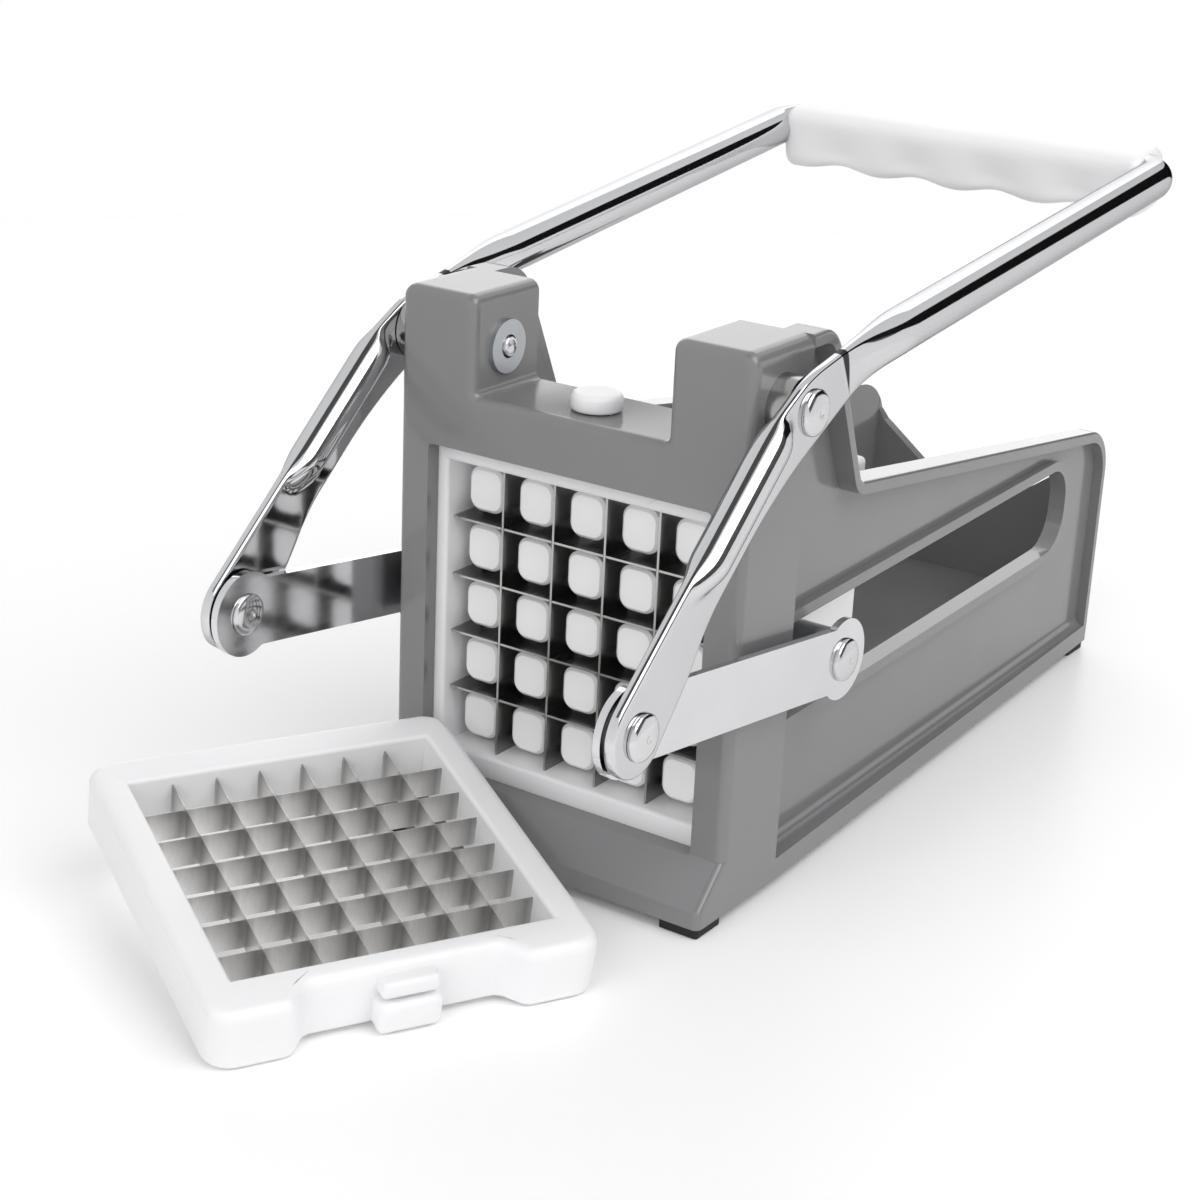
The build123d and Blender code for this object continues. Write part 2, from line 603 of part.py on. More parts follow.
def cassette_frame(cells):
    """Square frame with its front face at z = 0, the grid's centre at the origin and the latch rim at +y."""
    half, flat, slope = CASSETTE_WIDTH / 2, LATCH_RECESS_HALF, LATCH_RECESS_HALF + LATCH_RECESS_SLOPE
    face = outline(
        (-half, -CASSETTE_BOTTOM), (half, -CASSETTE_BOTTOM), (half, CASSETTE_TOP), (slope, CASSETTE_TOP),
        (flat, LATCH_PANEL), (-flat, LATCH_PANEL), (-slope, CASSETTE_TOP), (-half, CASSETTE_TOP),
    )
    corners = []
    for side in (-1, 1):
        corners += [
            ((side * half, -CASSETTE_BOTTOM), CASSETTE_CORNER_RADIUS),
            ((side * half, CASSETTE_TOP), CASSETTE_CORNER_RADIUS),
            ((side * slope, CASSETTE_TOP), LATCH_RECESS / 2),
            ((side * flat, LATCH_PANEL), LATCH_RECESS / 2),
        ]
    block = prism_z(rounded(face, corners), -CASSETTE_DEPTH, 0)
    block = fillet(block.edges().filter_by_position(Axis.Z, 0, 0), CASSETTE_EDGE_RADIUS)
    block -= box_between((-APERTURE / 2, -APERTURE / 2, -CASSETTE_DEPTH - 1), (APERTURE / 2, APERTURE / 2, 1))
    mouth = block.edges().filter_by_position(Axis.Z, 0, 0)
    mouth = mouth.filter_by(lambda e: max(abs(e.center().X), abs(e.center().Y)) < APERTURE / 2 + 0.1)
    block = chamfer(mouth, APERTURE_LEAD_IN)
    tab_half, tab_root = TAB_WIDTH / 2, LATCH_PANEL - 1
    block += box_between(
        (-tab_half, tab_root, TAB_GROOVE - TAB_STEP_DEPTH),
        (tab_half, LATCH_PANEL + TAB_UPPER_REACH, -TAB_TOP_INSET),
    )
    block += box_between(
        (-tab_half, tab_root, -CASSETTE_DEPTH),
        (tab_half, LATCH_PANEL + TAB_LOWER_REACH, -TAB_STEP_DEPTH),
    )
    reach = APERTURE / 2 + STRIP_SEAT
    width = STRIP_THICKNESS / 2 + STRIP_SLOT_CLEARANCE
    top = STRIP_SLOT_CLEARANCE - STRIP_SETBACK
    bottom = -STRIP_SETBACK - STRIP_DEPTH - STRIP_SLOT_CLEARANCE
    for place in strip_offsets(cells):
        block -= box_between((-reach, place - width, bottom), (reach, place + width, top))
        block -= box_between((place - width, -reach, bottom), (place + width, reach, top))
    return block


def in_machine(solid):
    """Place a cassette piece upright behind the window."""
    return Pos(0, CASSETTE_FRONT_Y, GRID_Z) * Rot(90, 0, 0) * solid


def leaning(solid):
    """Lean a cassette piece, face up: its near edge is on the table and its far corner on the toe."""
    tilt = asin((TOE_TOP_Z + SPARE_REST_GAP) / SPARE_REST_REACH)
    length = (CASSETTE_TOP + CASSETTE_BOTTOM) * cos(tilt)
    corner = (SPARE_CORNER_INSET - WINDOW_HALF, SPARE_CORNER_PAST_TOE, 0)
    lifted = Rot(-degrees(tilt), 0, 0) * Pos(0, -CASSETTE_TOP, CASSETTE_DEPTH) * solid
    return Pos(*corner) * Rot(0, 0, SPARE_TURN) * Pos(CASSETTE_WIDTH / 2, length, 0) * lifted


# ---------------------------------------------------------------- pusher
def pusher_block():
    """Hollow block with a thick front plate and a finger for each cell of the coarse grid."""
    bottom = FLOOR_Z + PUSHER_FLOOR_GAP
    half = PUSHER_HALF_WIDTH
    block = box_between((-half, PUSHER_PLATE_Y, bottom), (half, PUSHER_REAR_Y, PUSHER_TOP_Z))
    block = fillet(block.edges().filter_by(Axis.Y), PUSHER_EDGE_RADIUS)
    wall = PUSHER_WALL
    block -= box_between(
        (wall - half, PUSHER_PLATE_Y + PUSHER_PLATE, bottom + wall),
        (half - wall, PUSHER_REAR_Y + 1, PUSHER_TOP_Z - wall),
    )
    section = RectangleRounded(FINGER_WIDTH, FINGER_HEIGHT, FINGER_RADIUS)
    finger = prism_y(section, FINGER_FRONT_Y, PUSHER_PLATE_Y + 1)
    finger = chamfer(finger.faces().sort_by(Axis.Y)[0].edges(), FINGER_EDGE)
    for place in GridLocations(CELL_PITCH, CELL_PITCH, COARSE_CELLS, COARSE_CELLS):
        block += Pos(place.position.X, 0, GRID_Z + place.position.Y) * finger
    return block - rod_x(AXLE_RADIUS + FIXED_FIT, -half - 1, half + 1, AXLE_Y, AXLE_Z)


def axle_sleeve():
    """Sleeve on the axle between the block and the link, on the +X side."""
    start = PUSHER_HALF_WIDTH + LAYER_GAP
    outer = rod_x(SLEEVE_RADIUS, start, AXLE_END_X, AXLE_Y, AXLE_Z)
    return outer - rod_x(AXLE_RADIUS + FIXED_FIT, start - 1, AXLE_END_X + 1, AXLE_Y, AXLE_Z)


# ---------------------------------------------------------------- links and rivets, +X side
def link():
    """Flat bar with round eyes from the crank pin to the axle."""
    bar = Rectangle(LINK_LENGTH, LINK_WIDTH)
    ends = [Pos(side * LINK_LENGTH / 2, 0) for side in (-1, 1)]
    for end in ends:
        bar += end * Circle(LINK_EYE_RADIUS)
    for end in ends:
        bar -= end * Circle(RIVET_RADIUS + FIXED_FIT)
    middle = Pos((CRANK_Y + AXLE_Y) / 2, (CRANK_Z + AXLE_Z) / 2) * Rot(0, 0, LINK_REST_ANGLE)
    return prism_x(middle * bar, LINK_INNER_X, LINK_OUTER_X)


def crank_rivet():
    """Rivet that is fixed in the link and turns in the lever arm, headed on both sides."""
    head_x = ARM_OUTER_X + LAYER_GAP
    outer, inner = domed_end(head_x, RIVET_HEAD_RADIUS), domed_end(LINK_INNER_X, INNER_HEAD_RADIUS, -1)
    shank = Polyline(
        (LINK_INNER_X, INNER_HEAD_RADIUS), (LINK_INNER_X, RIVET_RADIUS), (head_x, RIVET_RADIUS),
        (head_x, RIVET_HEAD_RADIUS),
    )
    return turned(outer + Line(outer @ 1, inner @ 1) + inner + shank, CRANK_Y, CRANK_Z)


def crank_washer():
    """Thin washer between link and lever arm."""
    outer = rod_x(LINK_WASHER_RADIUS, LINK_OUTER_X, LINK_OUTER_X + LINK_WASHER, CRANK_Y, CRANK_Z)
    return outer - rod_x(RIVET_RADIUS + FIXED_FIT, LINK_INNER_X, ARM_INNER_X, CRANK_Y, CRANK_Z)


def axle_rivet():
    """Domed rivet at the link's rear eye."""
    end = domed_end(LINK_OUTER_X, RIVET_HEAD_RADIUS)
    start = Polyline(
        (end @ 1), (LINK_INNER_X, 0), (LINK_INNER_X, RIVET_RADIUS), (LINK_OUTER_X, RIVET_RADIUS),
        (LINK_OUTER_X, RIVET_HEAD_RADIUS),
    )
    return turned(start + end, AXLE_Y, AXLE_Z)


def pivot_rivet():
    """Pin that carries the lever in the horn: domed outside, peened over the washer inside."""
    peen_x = HORN_GAP / 2 - PIVOT_WASHER - LAYER_GAP
    tip_x, bevel = peen_x - PEEN_HEIGHT, PEEN_HEIGHT / 2
    end = domed_end(ARM_OUTER_X, RIVET_HEAD_RADIUS)
    start = Polyline(
        (end @ 1), (tip_x, 0), (tip_x, PEEN_RADIUS - bevel), (tip_x + bevel, PEEN_RADIUS),
        (peen_x, PEEN_RADIUS), (peen_x, RIVET_RADIUS), (ARM_OUTER_X, RIVET_RADIUS),
        (ARM_OUTER_X, RIVET_HEAD_RADIUS),
    )
    return turned(start + end, PIVOT_Y, PIVOT_Z)


def pivot_washer():
    """Washer on the horn's inner face."""
    start = HORN_GAP / 2 - PIVOT_WASHER
    outer = rod_x(PIVOT_WASHER_RADIUS, start, HORN_GAP / 2, PIVOT_Y, PIVOT_Z)
    return outer - rod_x(RUNNING_BORE, start - 1, start + 2, PIVOT_Y, PIVOT_Z)


def pivot_spacer():
    """Round spacer between the horn and the lever arm."""
    end = ARM_INNER_X - 2 * LAYER_GAP
    outer = rod_x(SPACER_RADIUS, FRAME_HALF, end, PIVOT_Y, PIVOT_Z)
    return outer - rod_x(RUNNING_BORE, FRAME_HALF - 1, end + 1, PIVOT_Y, PIVOT_Z)


# ---------------------------------------------------------------- lever
ALONG = ((PIVOT_Y - CRANK_Y) / LEVER_LENGTH, (PIVOT_Z - CRANK_Z) / LEVER_LENGTH)
ACROSS = (-ALONG[1], ALONG[0])
PLATE_TOP_END = (LEVER_LENGTH + PLATE_TOP_PAST_PIVOT, PLATE_TOP_REACH)
PLATE_LOW_END = (LEVER_LENGTH + PLATE_LOW_PAST_PIVOT, -PLATE_LOW_REACH)


def on_arm(distance, side):
    """Point (y, z) at this distance from the crank pin towards the pivot, and this far to the front side."""
    return (
        CRANK_Y + ALONG[0] * distance + ACROSS[0] * side,
        CRANK_Z + ALONG[1] * distance + ACROSS[1] * side,
    )


def arm_plate():
    """Flattened lower arm: round end at the crank pin, narrow waist, and the plate round the pivot."""
    neck = on_arm(ARM_NECK_DISTANCE, -ARM_NECK_REACH)
    waist_start = on_arm(ARM_WAIST_START, -ARM_WAIST_REACH)
    waist_end = on_arm(ARM_WAIST_END, -ARM_WAIST_REACH)
    heel = on_arm(LEVER_LENGTH - ARM_HEEL_DISTANCE, -ARM_HEEL_REACH)
    notch = on_arm(LEVER_LENGTH + ARM_NOTCH_PAST_PIVOT, ARM_NOTCH_REACH)
    brow = on_arm(LEVER_LENGTH - ARM_BROW_DISTANCE, ARM_BROW_REACH)
    eye_back = on_arm(0, ARM_END_SHIFT - ARM_END_RADIUS)
    eye_front = on_arm(0, ARM_END_SHIFT + ARM_END_RADIUS)
    back = (eye_back, neck, waist_start, waist_end, heel, on_arm(*PLATE_LOW_END))
    front = (on_arm(*PLATE_TOP_END), notch, brow, eye_front)
    round_end = ThreePointArc(eye_front, on_arm(-ARM_END_RADIUS, ARM_END_SHIFT), eye_back)
    face = rounded(
        make_face(Polyline(*back, *front) + round_end),
        [
            (waist_start, ARM_WAIST_RADIUS), (waist_end, ARM_WAIST_RADIUS), (neck, ARM_NECK_RADIUS),
            (notch, ARM_NOTCH_RADIUS), (brow, ARM_BROW_RADIUS),
        ],
    )
    return prism_x(face, ARM_INNER_X, ARM_OUTER_X)


def arm_ridge():
    """Part of the lower arm where the tube wall stays round along the front edge."""
    half = ARM_THICKNESS / 2 - RIDGE_SINK
    full_start, full_end = RIDGE_START + RIDGE_TAPER, RIDGE_END - RIDGE_TAPER
    face = outline(
        (RIDGE_START, 0), (RIDGE_START, half), (full_start, RIDGE_RADIUS),
        (full_end, RIDGE_RADIUS), (RIDGE_END, half), (RIDGE_END, 0),
    )
    face = rounded(
        face, [((full_start, RIDGE_RADIUS), RIDGE_ROUNDING), ((full_end, RIDGE_RADIUS), RIDGE_ROUNDING)]
    )
    spindle = revolve(face, Axis.X)
    start = on_arm(0, RIDGE_OFFSET)
    along = Plane(origin=(ARM_MIDDLE_X, *start), x_dir=(0, *ALONG), z_dir=(1, 0, 0))
    return along.location * spindle


def tube_section(half_wide, half_thick, corner_wide, corner_thick):
    """Tube section of four arcs."""
    a, b = (corner_wide, corner_thick), (corner_wide, -corner_thick)
    c, d = (-corner_wide, -corner_thick), (-corner_wide, corner_thick)
    edges = [
        ThreePointArc(a, (half_wide, 0), b),
        ThreePointArc(b, (0, -half_thick), c),
        ThreePointArc(c, (-half_wide, 0), d),
        ThreePointArc(d, (0, half_thick), a),
    ]
    return make_face(edges)


def tube_z(y):
    """Height of the upper tube's centre line."""
    return PIVOT_Z + TUBE_RISE + TUBE_SLOPE * y


def tube_start():
    """Plane square to the upper tube where it leaves the plate, its x axis upwards."""
    run, tilt = TUBE_END_Y - TUBE_START_Y, atan2(TUBE_SLOPE, 1)
    place = (TUBE_CENTRE_X, TUBE_START_Y, tube_z(TUBE_START_Y))
    return Plane(origin=place, x_dir=(0, -sin(tilt), cos(tilt)), z_dir=(TUBE_SPLAY, run, TUBE_SLOPE * run))


def arm_transition():
    """Length where the flat plate opens out into the round tube."""
    top, low = on_arm(*PLATE_TOP_END), on_arm(*PLATE_LOW_END)
    width = hypot(top[0] - low[0], top[1] - low[1])
    slope = atan2(low[0] - top[0], top[1] - low[1])
    centre = (ARM_MIDDLE_X, (top[0] + low[0]) / 2, (top[1] + low[1]) / 2)
    half_thick = ARM_THICKNESS / 2
    plate_end = Plane(origin=centre, x_dir=(0, -sin(slope), cos(slope)), z_dir=(0, cos(slope), sin(slope)))
    flat = tube_section(width / 2, half_thick, width / 2 - 0.4, half_thick - 0.3)
    diagonal = TUBE_RADIUS * sqrt(0.5)
    return loft([plate_end * flat, tube_start() * tube_section(TUBE_RADIUS, TUBE_RADIUS, diagonal, diagonal)])


def upper_tube(radius):
    """Round tube from one side over the cross bar to the other side."""
    front, rear = (TUBE_CENTRE_X, TUBE_START_Y), (TUBE_REAR_X, TUBE_END_Y)
    points = [(side * x, y, tube_z(y)) for side, (x, y) in ((1, front), (1, rear), (-1, rear), (-1, front))]
    path = FilletPolyline(*points, radius=TUBE_BEND_RADIUS)
    return sweep(tube_start() * Circle(radius), path=path)


def lever():
    side = arm_plate() + arm_ridge() + arm_transition()
    for y, z in ((PIVOT_Y, PIVOT_Z), (CRANK_Y, CRANK_Z)):
        fit = FIXED_FIT if y == PIVOT_Y else RUNNING_FIT
        side -= rod_x(RIVET_RADIUS + fit, ARM_INNER_X - 3, ARM_OUTER_X + 3, y, z)
    return upper_tube(TUBE_RADIUS) + both_sides(side)


def handle_grip():
    """Grip round the cross bar, with a row of finger grooves along its underside."""
    top, low = TUBE_RADIUS + GRIP_OVER_TUBE, -TUBE_RADIUS - GRIP_UNDER_TUBE
    middle, valley = low + GRIP_GROOVE_DEPTH / 2, low + GRIP_GROOVE_DEPTH
    half, reach, quarter = TUBE_REAR_X - GRIP_IN_BEND, GRIP_GROOVES * GRIP_GROOVE_PITCH / 2, GRIP_GROOVE_PITCH / 4
    wave = [
        TangentArc((-reach, low), (quarter - reach, middle), tangent=(1, 0)),
        TangentArc((reach, low), (reach - quarter, middle), tangent=(-1, 0)),
    ]
    for number in range(1, 2 * GRIP_GROOVES):
        x, turn = 2 * quarter * number - reach, valley if number % 2 else low
        wave.append(ThreePointArc((x - quarter, middle), (x, turn), (x + quarter, middle)))
    rest = Polyline((reach, low), (half, low), (half, top), (-half, top), (-half, low), (-reach, low))
    bar = prism_y(make_face([*rest.edges(), *wave]), -GRIP_DEPTH / 2, GRIP_DEPTH / 2)
    long_edges = bar.edges().filter_by(
        lambda e: abs(e.center().X) < half - GRIP_END_RADIUS / 2 and abs(e.center().Y) > GRIP_DEPTH / 4
    )
    bar = fillet(long_edges, GRIP_EDGE_RADIUS)
    bar = fillet(bar.edges().filter_by(lambda e: abs(e.center().X) > half - GRIP_END_RADIUS / 2), GRIP_END_RADIUS)
    tilt = degrees(atan2(TUBE_SLOPE, 1))
    bar = Pos(0, TUBE_END_Y, tube_z(TUBE_END_Y)) * Rot(tilt, 0, 0) * bar
    return bar - upper_tube(TUBE_RADIUS + GRIP_BORE_CLEARANCE)


# ---------------------------------------------------------------- nodes
def build_nodes():
    """Every sub-part under its node name, in the working axes."""
    feet = [foot(x, y) for x, y in foot_places()]
    nodes = {
        "housing": housing(),
        "front_feet": group(feet[:2]),
        "rear_feet": group(feet[2:]),
        "lock_knob": lock_knob(),
        "coarse_cassette_frame": in_machine(cassette_frame(COARSE_CELLS)),
        "coarse_blades_vertical": group([in_machine(s) for s in strips(COARSE_CELLS, True)]),
        "coarse_blades_horizontal": group([in_machine(s) for s in strips(COARSE_CELLS, False)]),
        "fine_cassette_frame": leaning(cassette_frame(FINE_CELLS)),
        "fine_blades_lengthwise": group([leaning(s) for s in strips(FINE_CELLS, True)]),
        "fine_blades_crosswise": group([leaning(s) for s in strips(FINE_CELLS, False)]),
        "pusher_block": pusher_block(),
        "pusher_axle": rod_x(AXLE_RADIUS, -AXLE_END_X, AXLE_END_X, AXLE_Y, AXLE_Z),
        "axle_sleeves": group(both_sides(axle_sleeve())),
        "lever_tube": lever(),
        "handle_grip": handle_grip(),
        "pivot_rivets": group(both_sides(pivot_rivet())),
        "pivot_washers": group(both_sides(pivot_washer())),
        "pivot_spacers": group(both_sides(pivot_spacer())),
    }
    side_pieces = {
        "link": link(), "crank_rivet": crank_rivet(), "crank_washer": crank_washer(), "axle_rivet": axle_rivet(),
    }
    for name, solid in side_pieces.items():
        right, left = both_sides(solid)
        nodes["right_" + name] = right
        nodes["left_" + name] = left
    return nodes


def main():
    os.makedirs("parts", exist_ok=True)
    nodes = build_nodes()
    boxes = [solid.bounding_box() for solid in nodes.values()]
    low = [min(getattr(box.min, axis) for box in boxes) for axis in "XYZ"]
    high = [max(getattr(box.max, axis) for box in boxes) for axis in "XYZ"]
    shift = (-(low[0] + high[0]) / 2, -(low[1] + high[1]) / 2, -low[2])
    for name, solid in nodes.items():
        export_step(group([Pos(*shift) * solid]), "parts/" + name + ".step")
    print("shift", *[round(value, 4) for value in shift])
    print("size", *[round(b - a, 3) for a, b in zip(low, high)])
    print("stroke", round(PUSHER_STROKE, 4), "link turn", round(LINK_TURN, 4))


main()
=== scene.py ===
"""Looks of the french fry cutter: finishes, modelled soft pieces, studio and camera round the CAD frame."""
import math

import bmesh
import bpy
from mathutils import Matrix, Vector


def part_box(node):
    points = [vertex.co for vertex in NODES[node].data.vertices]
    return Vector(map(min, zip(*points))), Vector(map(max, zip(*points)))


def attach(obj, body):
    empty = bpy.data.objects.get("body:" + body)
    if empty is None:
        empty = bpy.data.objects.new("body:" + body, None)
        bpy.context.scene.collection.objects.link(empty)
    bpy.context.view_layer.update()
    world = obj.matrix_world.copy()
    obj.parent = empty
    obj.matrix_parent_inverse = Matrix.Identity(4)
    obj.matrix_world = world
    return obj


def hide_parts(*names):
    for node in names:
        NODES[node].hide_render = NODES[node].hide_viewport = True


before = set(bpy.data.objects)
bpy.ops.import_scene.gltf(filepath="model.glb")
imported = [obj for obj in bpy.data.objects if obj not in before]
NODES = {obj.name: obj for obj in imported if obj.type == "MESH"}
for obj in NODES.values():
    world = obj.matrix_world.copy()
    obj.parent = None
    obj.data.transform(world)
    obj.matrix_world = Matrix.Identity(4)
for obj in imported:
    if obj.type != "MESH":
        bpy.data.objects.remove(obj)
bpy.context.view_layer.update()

MM = 0.001
SQUARE = ((-1, -1), (1, -1), (1, 1), (-1, 1))

# The working axes of part.py (x = 0 in the machine's middle plane, y = 0 on the front face, z = 0 on the
# table) differ from the row frame by one shift, which is read from the housing's own box.
TOE_REACH = 8.4 * MM
housing_low, housing_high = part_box("housing")
SHIFT = Vector(((housing_low.x + housing_high.x) / 2, housing_low.y + TOE_REACH, 0.0))

# Centres of the pins in the working axes, seen along X.
CRANK, PIVOT, AXLE = Vector((0, -45.4, 60.4)), Vector((0, 11.0, 110.3)), Vector((0, 38.6, 49.4))


def at(x, y, z):
    """Point given in the working axes in millimetres, in the row frame in metres."""
    return Vector((x, y, z)) * MM + SHIFT


# ---------------------------------------------------------------- camera
CAMERA_PLACE = (264.83, -384.99, 235.48)
CAMERA_AZIMUTH, CAMERA_ELEVATION, CAMERA_ROLL = 33.49, 20.32, -2.69
CAMERA_LENS, SENSOR_WIDTH = 71.58, 36.0
NEAREST, FARTHEST = 0.01, 50


def make_camera():
    """The camera that was fitted to the photo."""
    az, el, roll = (math.radians(v) for v in (CAMERA_AZIMUTH, CAMERA_ELEVATION, CAMERA_ROLL))
    back = Vector((math.sin(az) * math.cos(el), -math.cos(az) * math.cos(el), math.sin(el)))
    right = Vector((math.cos(az), math.sin(az), 0))
    down = (-back).cross(right)
    x_axis = math.cos(roll) * right + math.sin(roll) * down
    y_axis = math.sin(roll) * right - math.cos(roll) * down
    turn = Matrix((x_axis, y_axis, back)).transposed().to_4x4()
    data = bpy.data.cameras.new("camera")
    data.lens, data.sensor_width = CAMERA_LENS, SENSOR_WIDTH
    data.clip_start, data.clip_end = NEAREST, FARTHEST
    camera = bpy.data.objects.new("camera", data)
    camera.matrix_world = Matrix.Translation(at(*CAMERA_PLACE)) @ turn
    bpy.context.scene.collection.objects.link(camera)
    bpy.context.scene.camera = camera


# ---------------------------------------------------------------- node trees
class Nodes:
    """Small builder for the node tree of a material or of the world."""

    def __init__(self, owner, output):
        owner.use_nodes = True
        self.tree = owner.node_tree
        self.tree.nodes.clear()
        self.surface = self.node(output).inputs["Surface"]

    def node(self, kind, **values):
        """New node with some of its settings."""
        made = self.tree.nodes.new(kind)
        for key, value in values.items():
            setattr(made, key, value)
        return made

    def link(self, source, target):
        """Link from an output socket to an input socket."""
        self.tree.links.new(source, target)

    def ramp(self, value, *stops):
        """Colour ramp through (position, colour or grey) stops."""
        made = self.node("ShaderNodeValToRGB")
        elements = made.color_ramp.elements
        while len(elements) < len(stops):
            elements.new(0.5)
        for element, (position, colour) in zip(elements, stops):
            element.position = position
            element.color = (*colour, 1) if isinstance(colour, tuple) else (colour, colour, colour, 1)
        self.link(value, made.inputs["Fac"])
        return made.outputs["Color"]

    def mixed(self, share, first, second):
        """Shader that goes from the first to the second as the share goes from 0 to 1."""
        made = self.node("ShaderNodeMixShader")
        for source, target in zip((share, first, second), made.inputs):
            self.link(source, target)
        return made.outputs[0]


class Shader(Nodes):
    """Builder for a material with one principled shader."""

    def __init__(self, name):
        self.material = bpy.data.materials.new(name)
        super().__init__(self.material, "ShaderNodeOutputMaterial")
        self.principled = self.node("ShaderNodeBsdfPrincipled")
        self.link(self.principled.outputs[0], self.surface)
        self.coords = self.node("ShaderNodeTexCoord").outputs["Object"]

    def set(self, **values):
        """Plain values on the principled shader's sockets, with _ for a space in the socket's name."""
        for key, value in values.items():
            self.principled.inputs[key.replace("_", " ")].default_value = value

    def base(self, colour):
        """Takes the base colour from a socket."""
        self.link(colour, self.principled.inputs["Base Color"])

    def rough(self, value):
        """Takes the roughness from a socket."""
        self.link(value, self.principled.inputs["Roughness"])

    def bump(self, height, strength, distance):
        """Fine relief from a height socket, with its distance in metres."""
        made = self.node("ShaderNodeBump")
        made.inputs["Strength"].default_value = strength
        made.inputs["Distance"].default_value = distance
        self.link(height, made.inputs["Height"])
        self.link(made.outputs["Normal"], self.principled.inputs["Normal"])

    def noise(self, scale, detail, roughness=0.5):
        """Noise over the object coordinates in metres, with one scale or a scale for each axis."""
        mapping = self.node("ShaderNodeMapping")
        mapping.inputs["Scale"].default_value = scale if isinstance(scale, tuple) else (scale,) * 3
        self.link(self.coords, mapping.inputs["Vector"])
        texture = self.node("ShaderNodeTexNoise")
        texture.inputs["Scale"].default_value = 1.0
        texture.inputs["Detail"].default_value = detail
        texture.inputs["Roughness"].default_value = roughness
        self.link(mapping.outputs[0], texture.inputs["Vector"])
        return texture.outputs["Fac"]

    def mapped(self, value, low, high, start=0.0, end=1.0):
        """Value from start..end mapped to low..high."""
        made = self.node("ShaderNodeMapRange")
        made.inputs["From Min"].default_value, made.inputs["From Max"].default_value = start, end
        made.inputs["To Min"].default_value, made.inputs["To Max"].default_value = low, high
        self.link(value, made.inputs["Value"])
        return made.outputs["Result"]

    def calculated(self, operation, *values):
        """Result of a math node on sockets and plain numbers."""
        made = self.node("ShaderNodeMath", operation=operation)
        for value, target in zip(values, made.inputs):
            if isinstance(value, (int, float)):
                target.default_value = value
            else:
                self.link(value, target)
        return made.outputs[0]

    def distance(self, way, start):
        """Distance in millimetres along a direction from a point of the row frame."""
        dot = self.node("ShaderNodeVectorMath", operation="DOT_PRODUCT")
        self.link(self.coords, dot.inputs[0])
        dot.inputs[1].default_value = way / MM
        return self.calculated("SUBTRACT", dot.outputs["Value"], (way / MM).dot(start))

    def cover(self, mask, colour):
        """One more colour over the base colour, where the mask is white."""
        mix = self.node("ShaderNodeMix", data_type="RGBA")
        self.link(mask, mix.inputs["Factor"])
        self.link(self.principled.inputs["Base Color"].links[0].from_socket, mix.inputs["A"])
        mix.inputs["B"].default_value = (*colour, 1)
        self.base(mix.outputs["Result"])


# ---------------------------------------------------------------- finishes
# Painted shade in the arm's fold: how far the dark wedge reaches behind the plate's end, and its colour.
FOLD_REACH, FOLD_PAINTED_SHADE = Vector((0, 2.6, 0.3)), (0.06, 0.06, 0.065)
# Scales of the scratches along X, Y and Z: they run where the scale is small.
BLADE_GRAIN, GRID_GRAIN = (900, 60, 60), (2500, 60, 60)
LINK_GRAIN, TURNED_GRAIN = (120, 120, 900), (3000, 200, 200)


def plastic(name, dark, light, roughness, bump, grain=2500):
    """Moulded plastic: faint cloudy colour, uneven roughness and a fine moulded grain."""
    s = Shader(name)
    s.base(s.ramp(s.noise(28, 4), (0.35, dark), (0.65, light)))
    s.rough(s.mapped(s.noise(60, 5), *roughness))
    s.bump(s.noise(grain, 2), bump, 0.0001)
    return s


def metal(name, dark, light, roughness, bump, scratch):
    """Metal with a cloudy tone and fine scratches, which have one scale or a scale for each axis."""
    s = Shader(name)
    s.set(Metallic=1.0)
    s.base(s.ramp(s.noise(45, 4), (0.3, dark), (0.7, light)))
    s.rough(s.mapped(s.noise(scratch, 4, 0.6), *roughness))
    s.bump(s.noise(scratch, 3), bump, 0.00005)
    return s


def bright_edges(s, colour):
    """Paler front and rear edges of upright strips, left out of the painted shade, by the surface's own
    direction along Y.
    """
    axes = s.node("ShaderNodeSeparateXYZ")
    s.link(s.node("ShaderNodeTexCoord").outputs["Normal"], axes.inputs[0])
    facing = s.calculated("ABSOLUTE", axes.outputs["Y"])
    s.cover(s.ramp(facing, (0.6, 0.0), (0.8, 1.0)), colour)


def painted_fold_shade(s, low, high, behind, colour):
    """Painted shade in a plated part's fold: a dark wedge between the lines low-high and low-behind, seen
    along X.
    """
    def ahead_of(end, sign):
        way = end - low
        return s.distance(Vector((0, way.z, -way.y)).normalized() * sign, at(*low))

    inside = s.calculated("MINIMUM", ahead_of(high, 1), ahead_of(behind, -1))
    s.cover(s.ramp(inside, (0.02, 0.0), (0.30, 1.0)), colour)


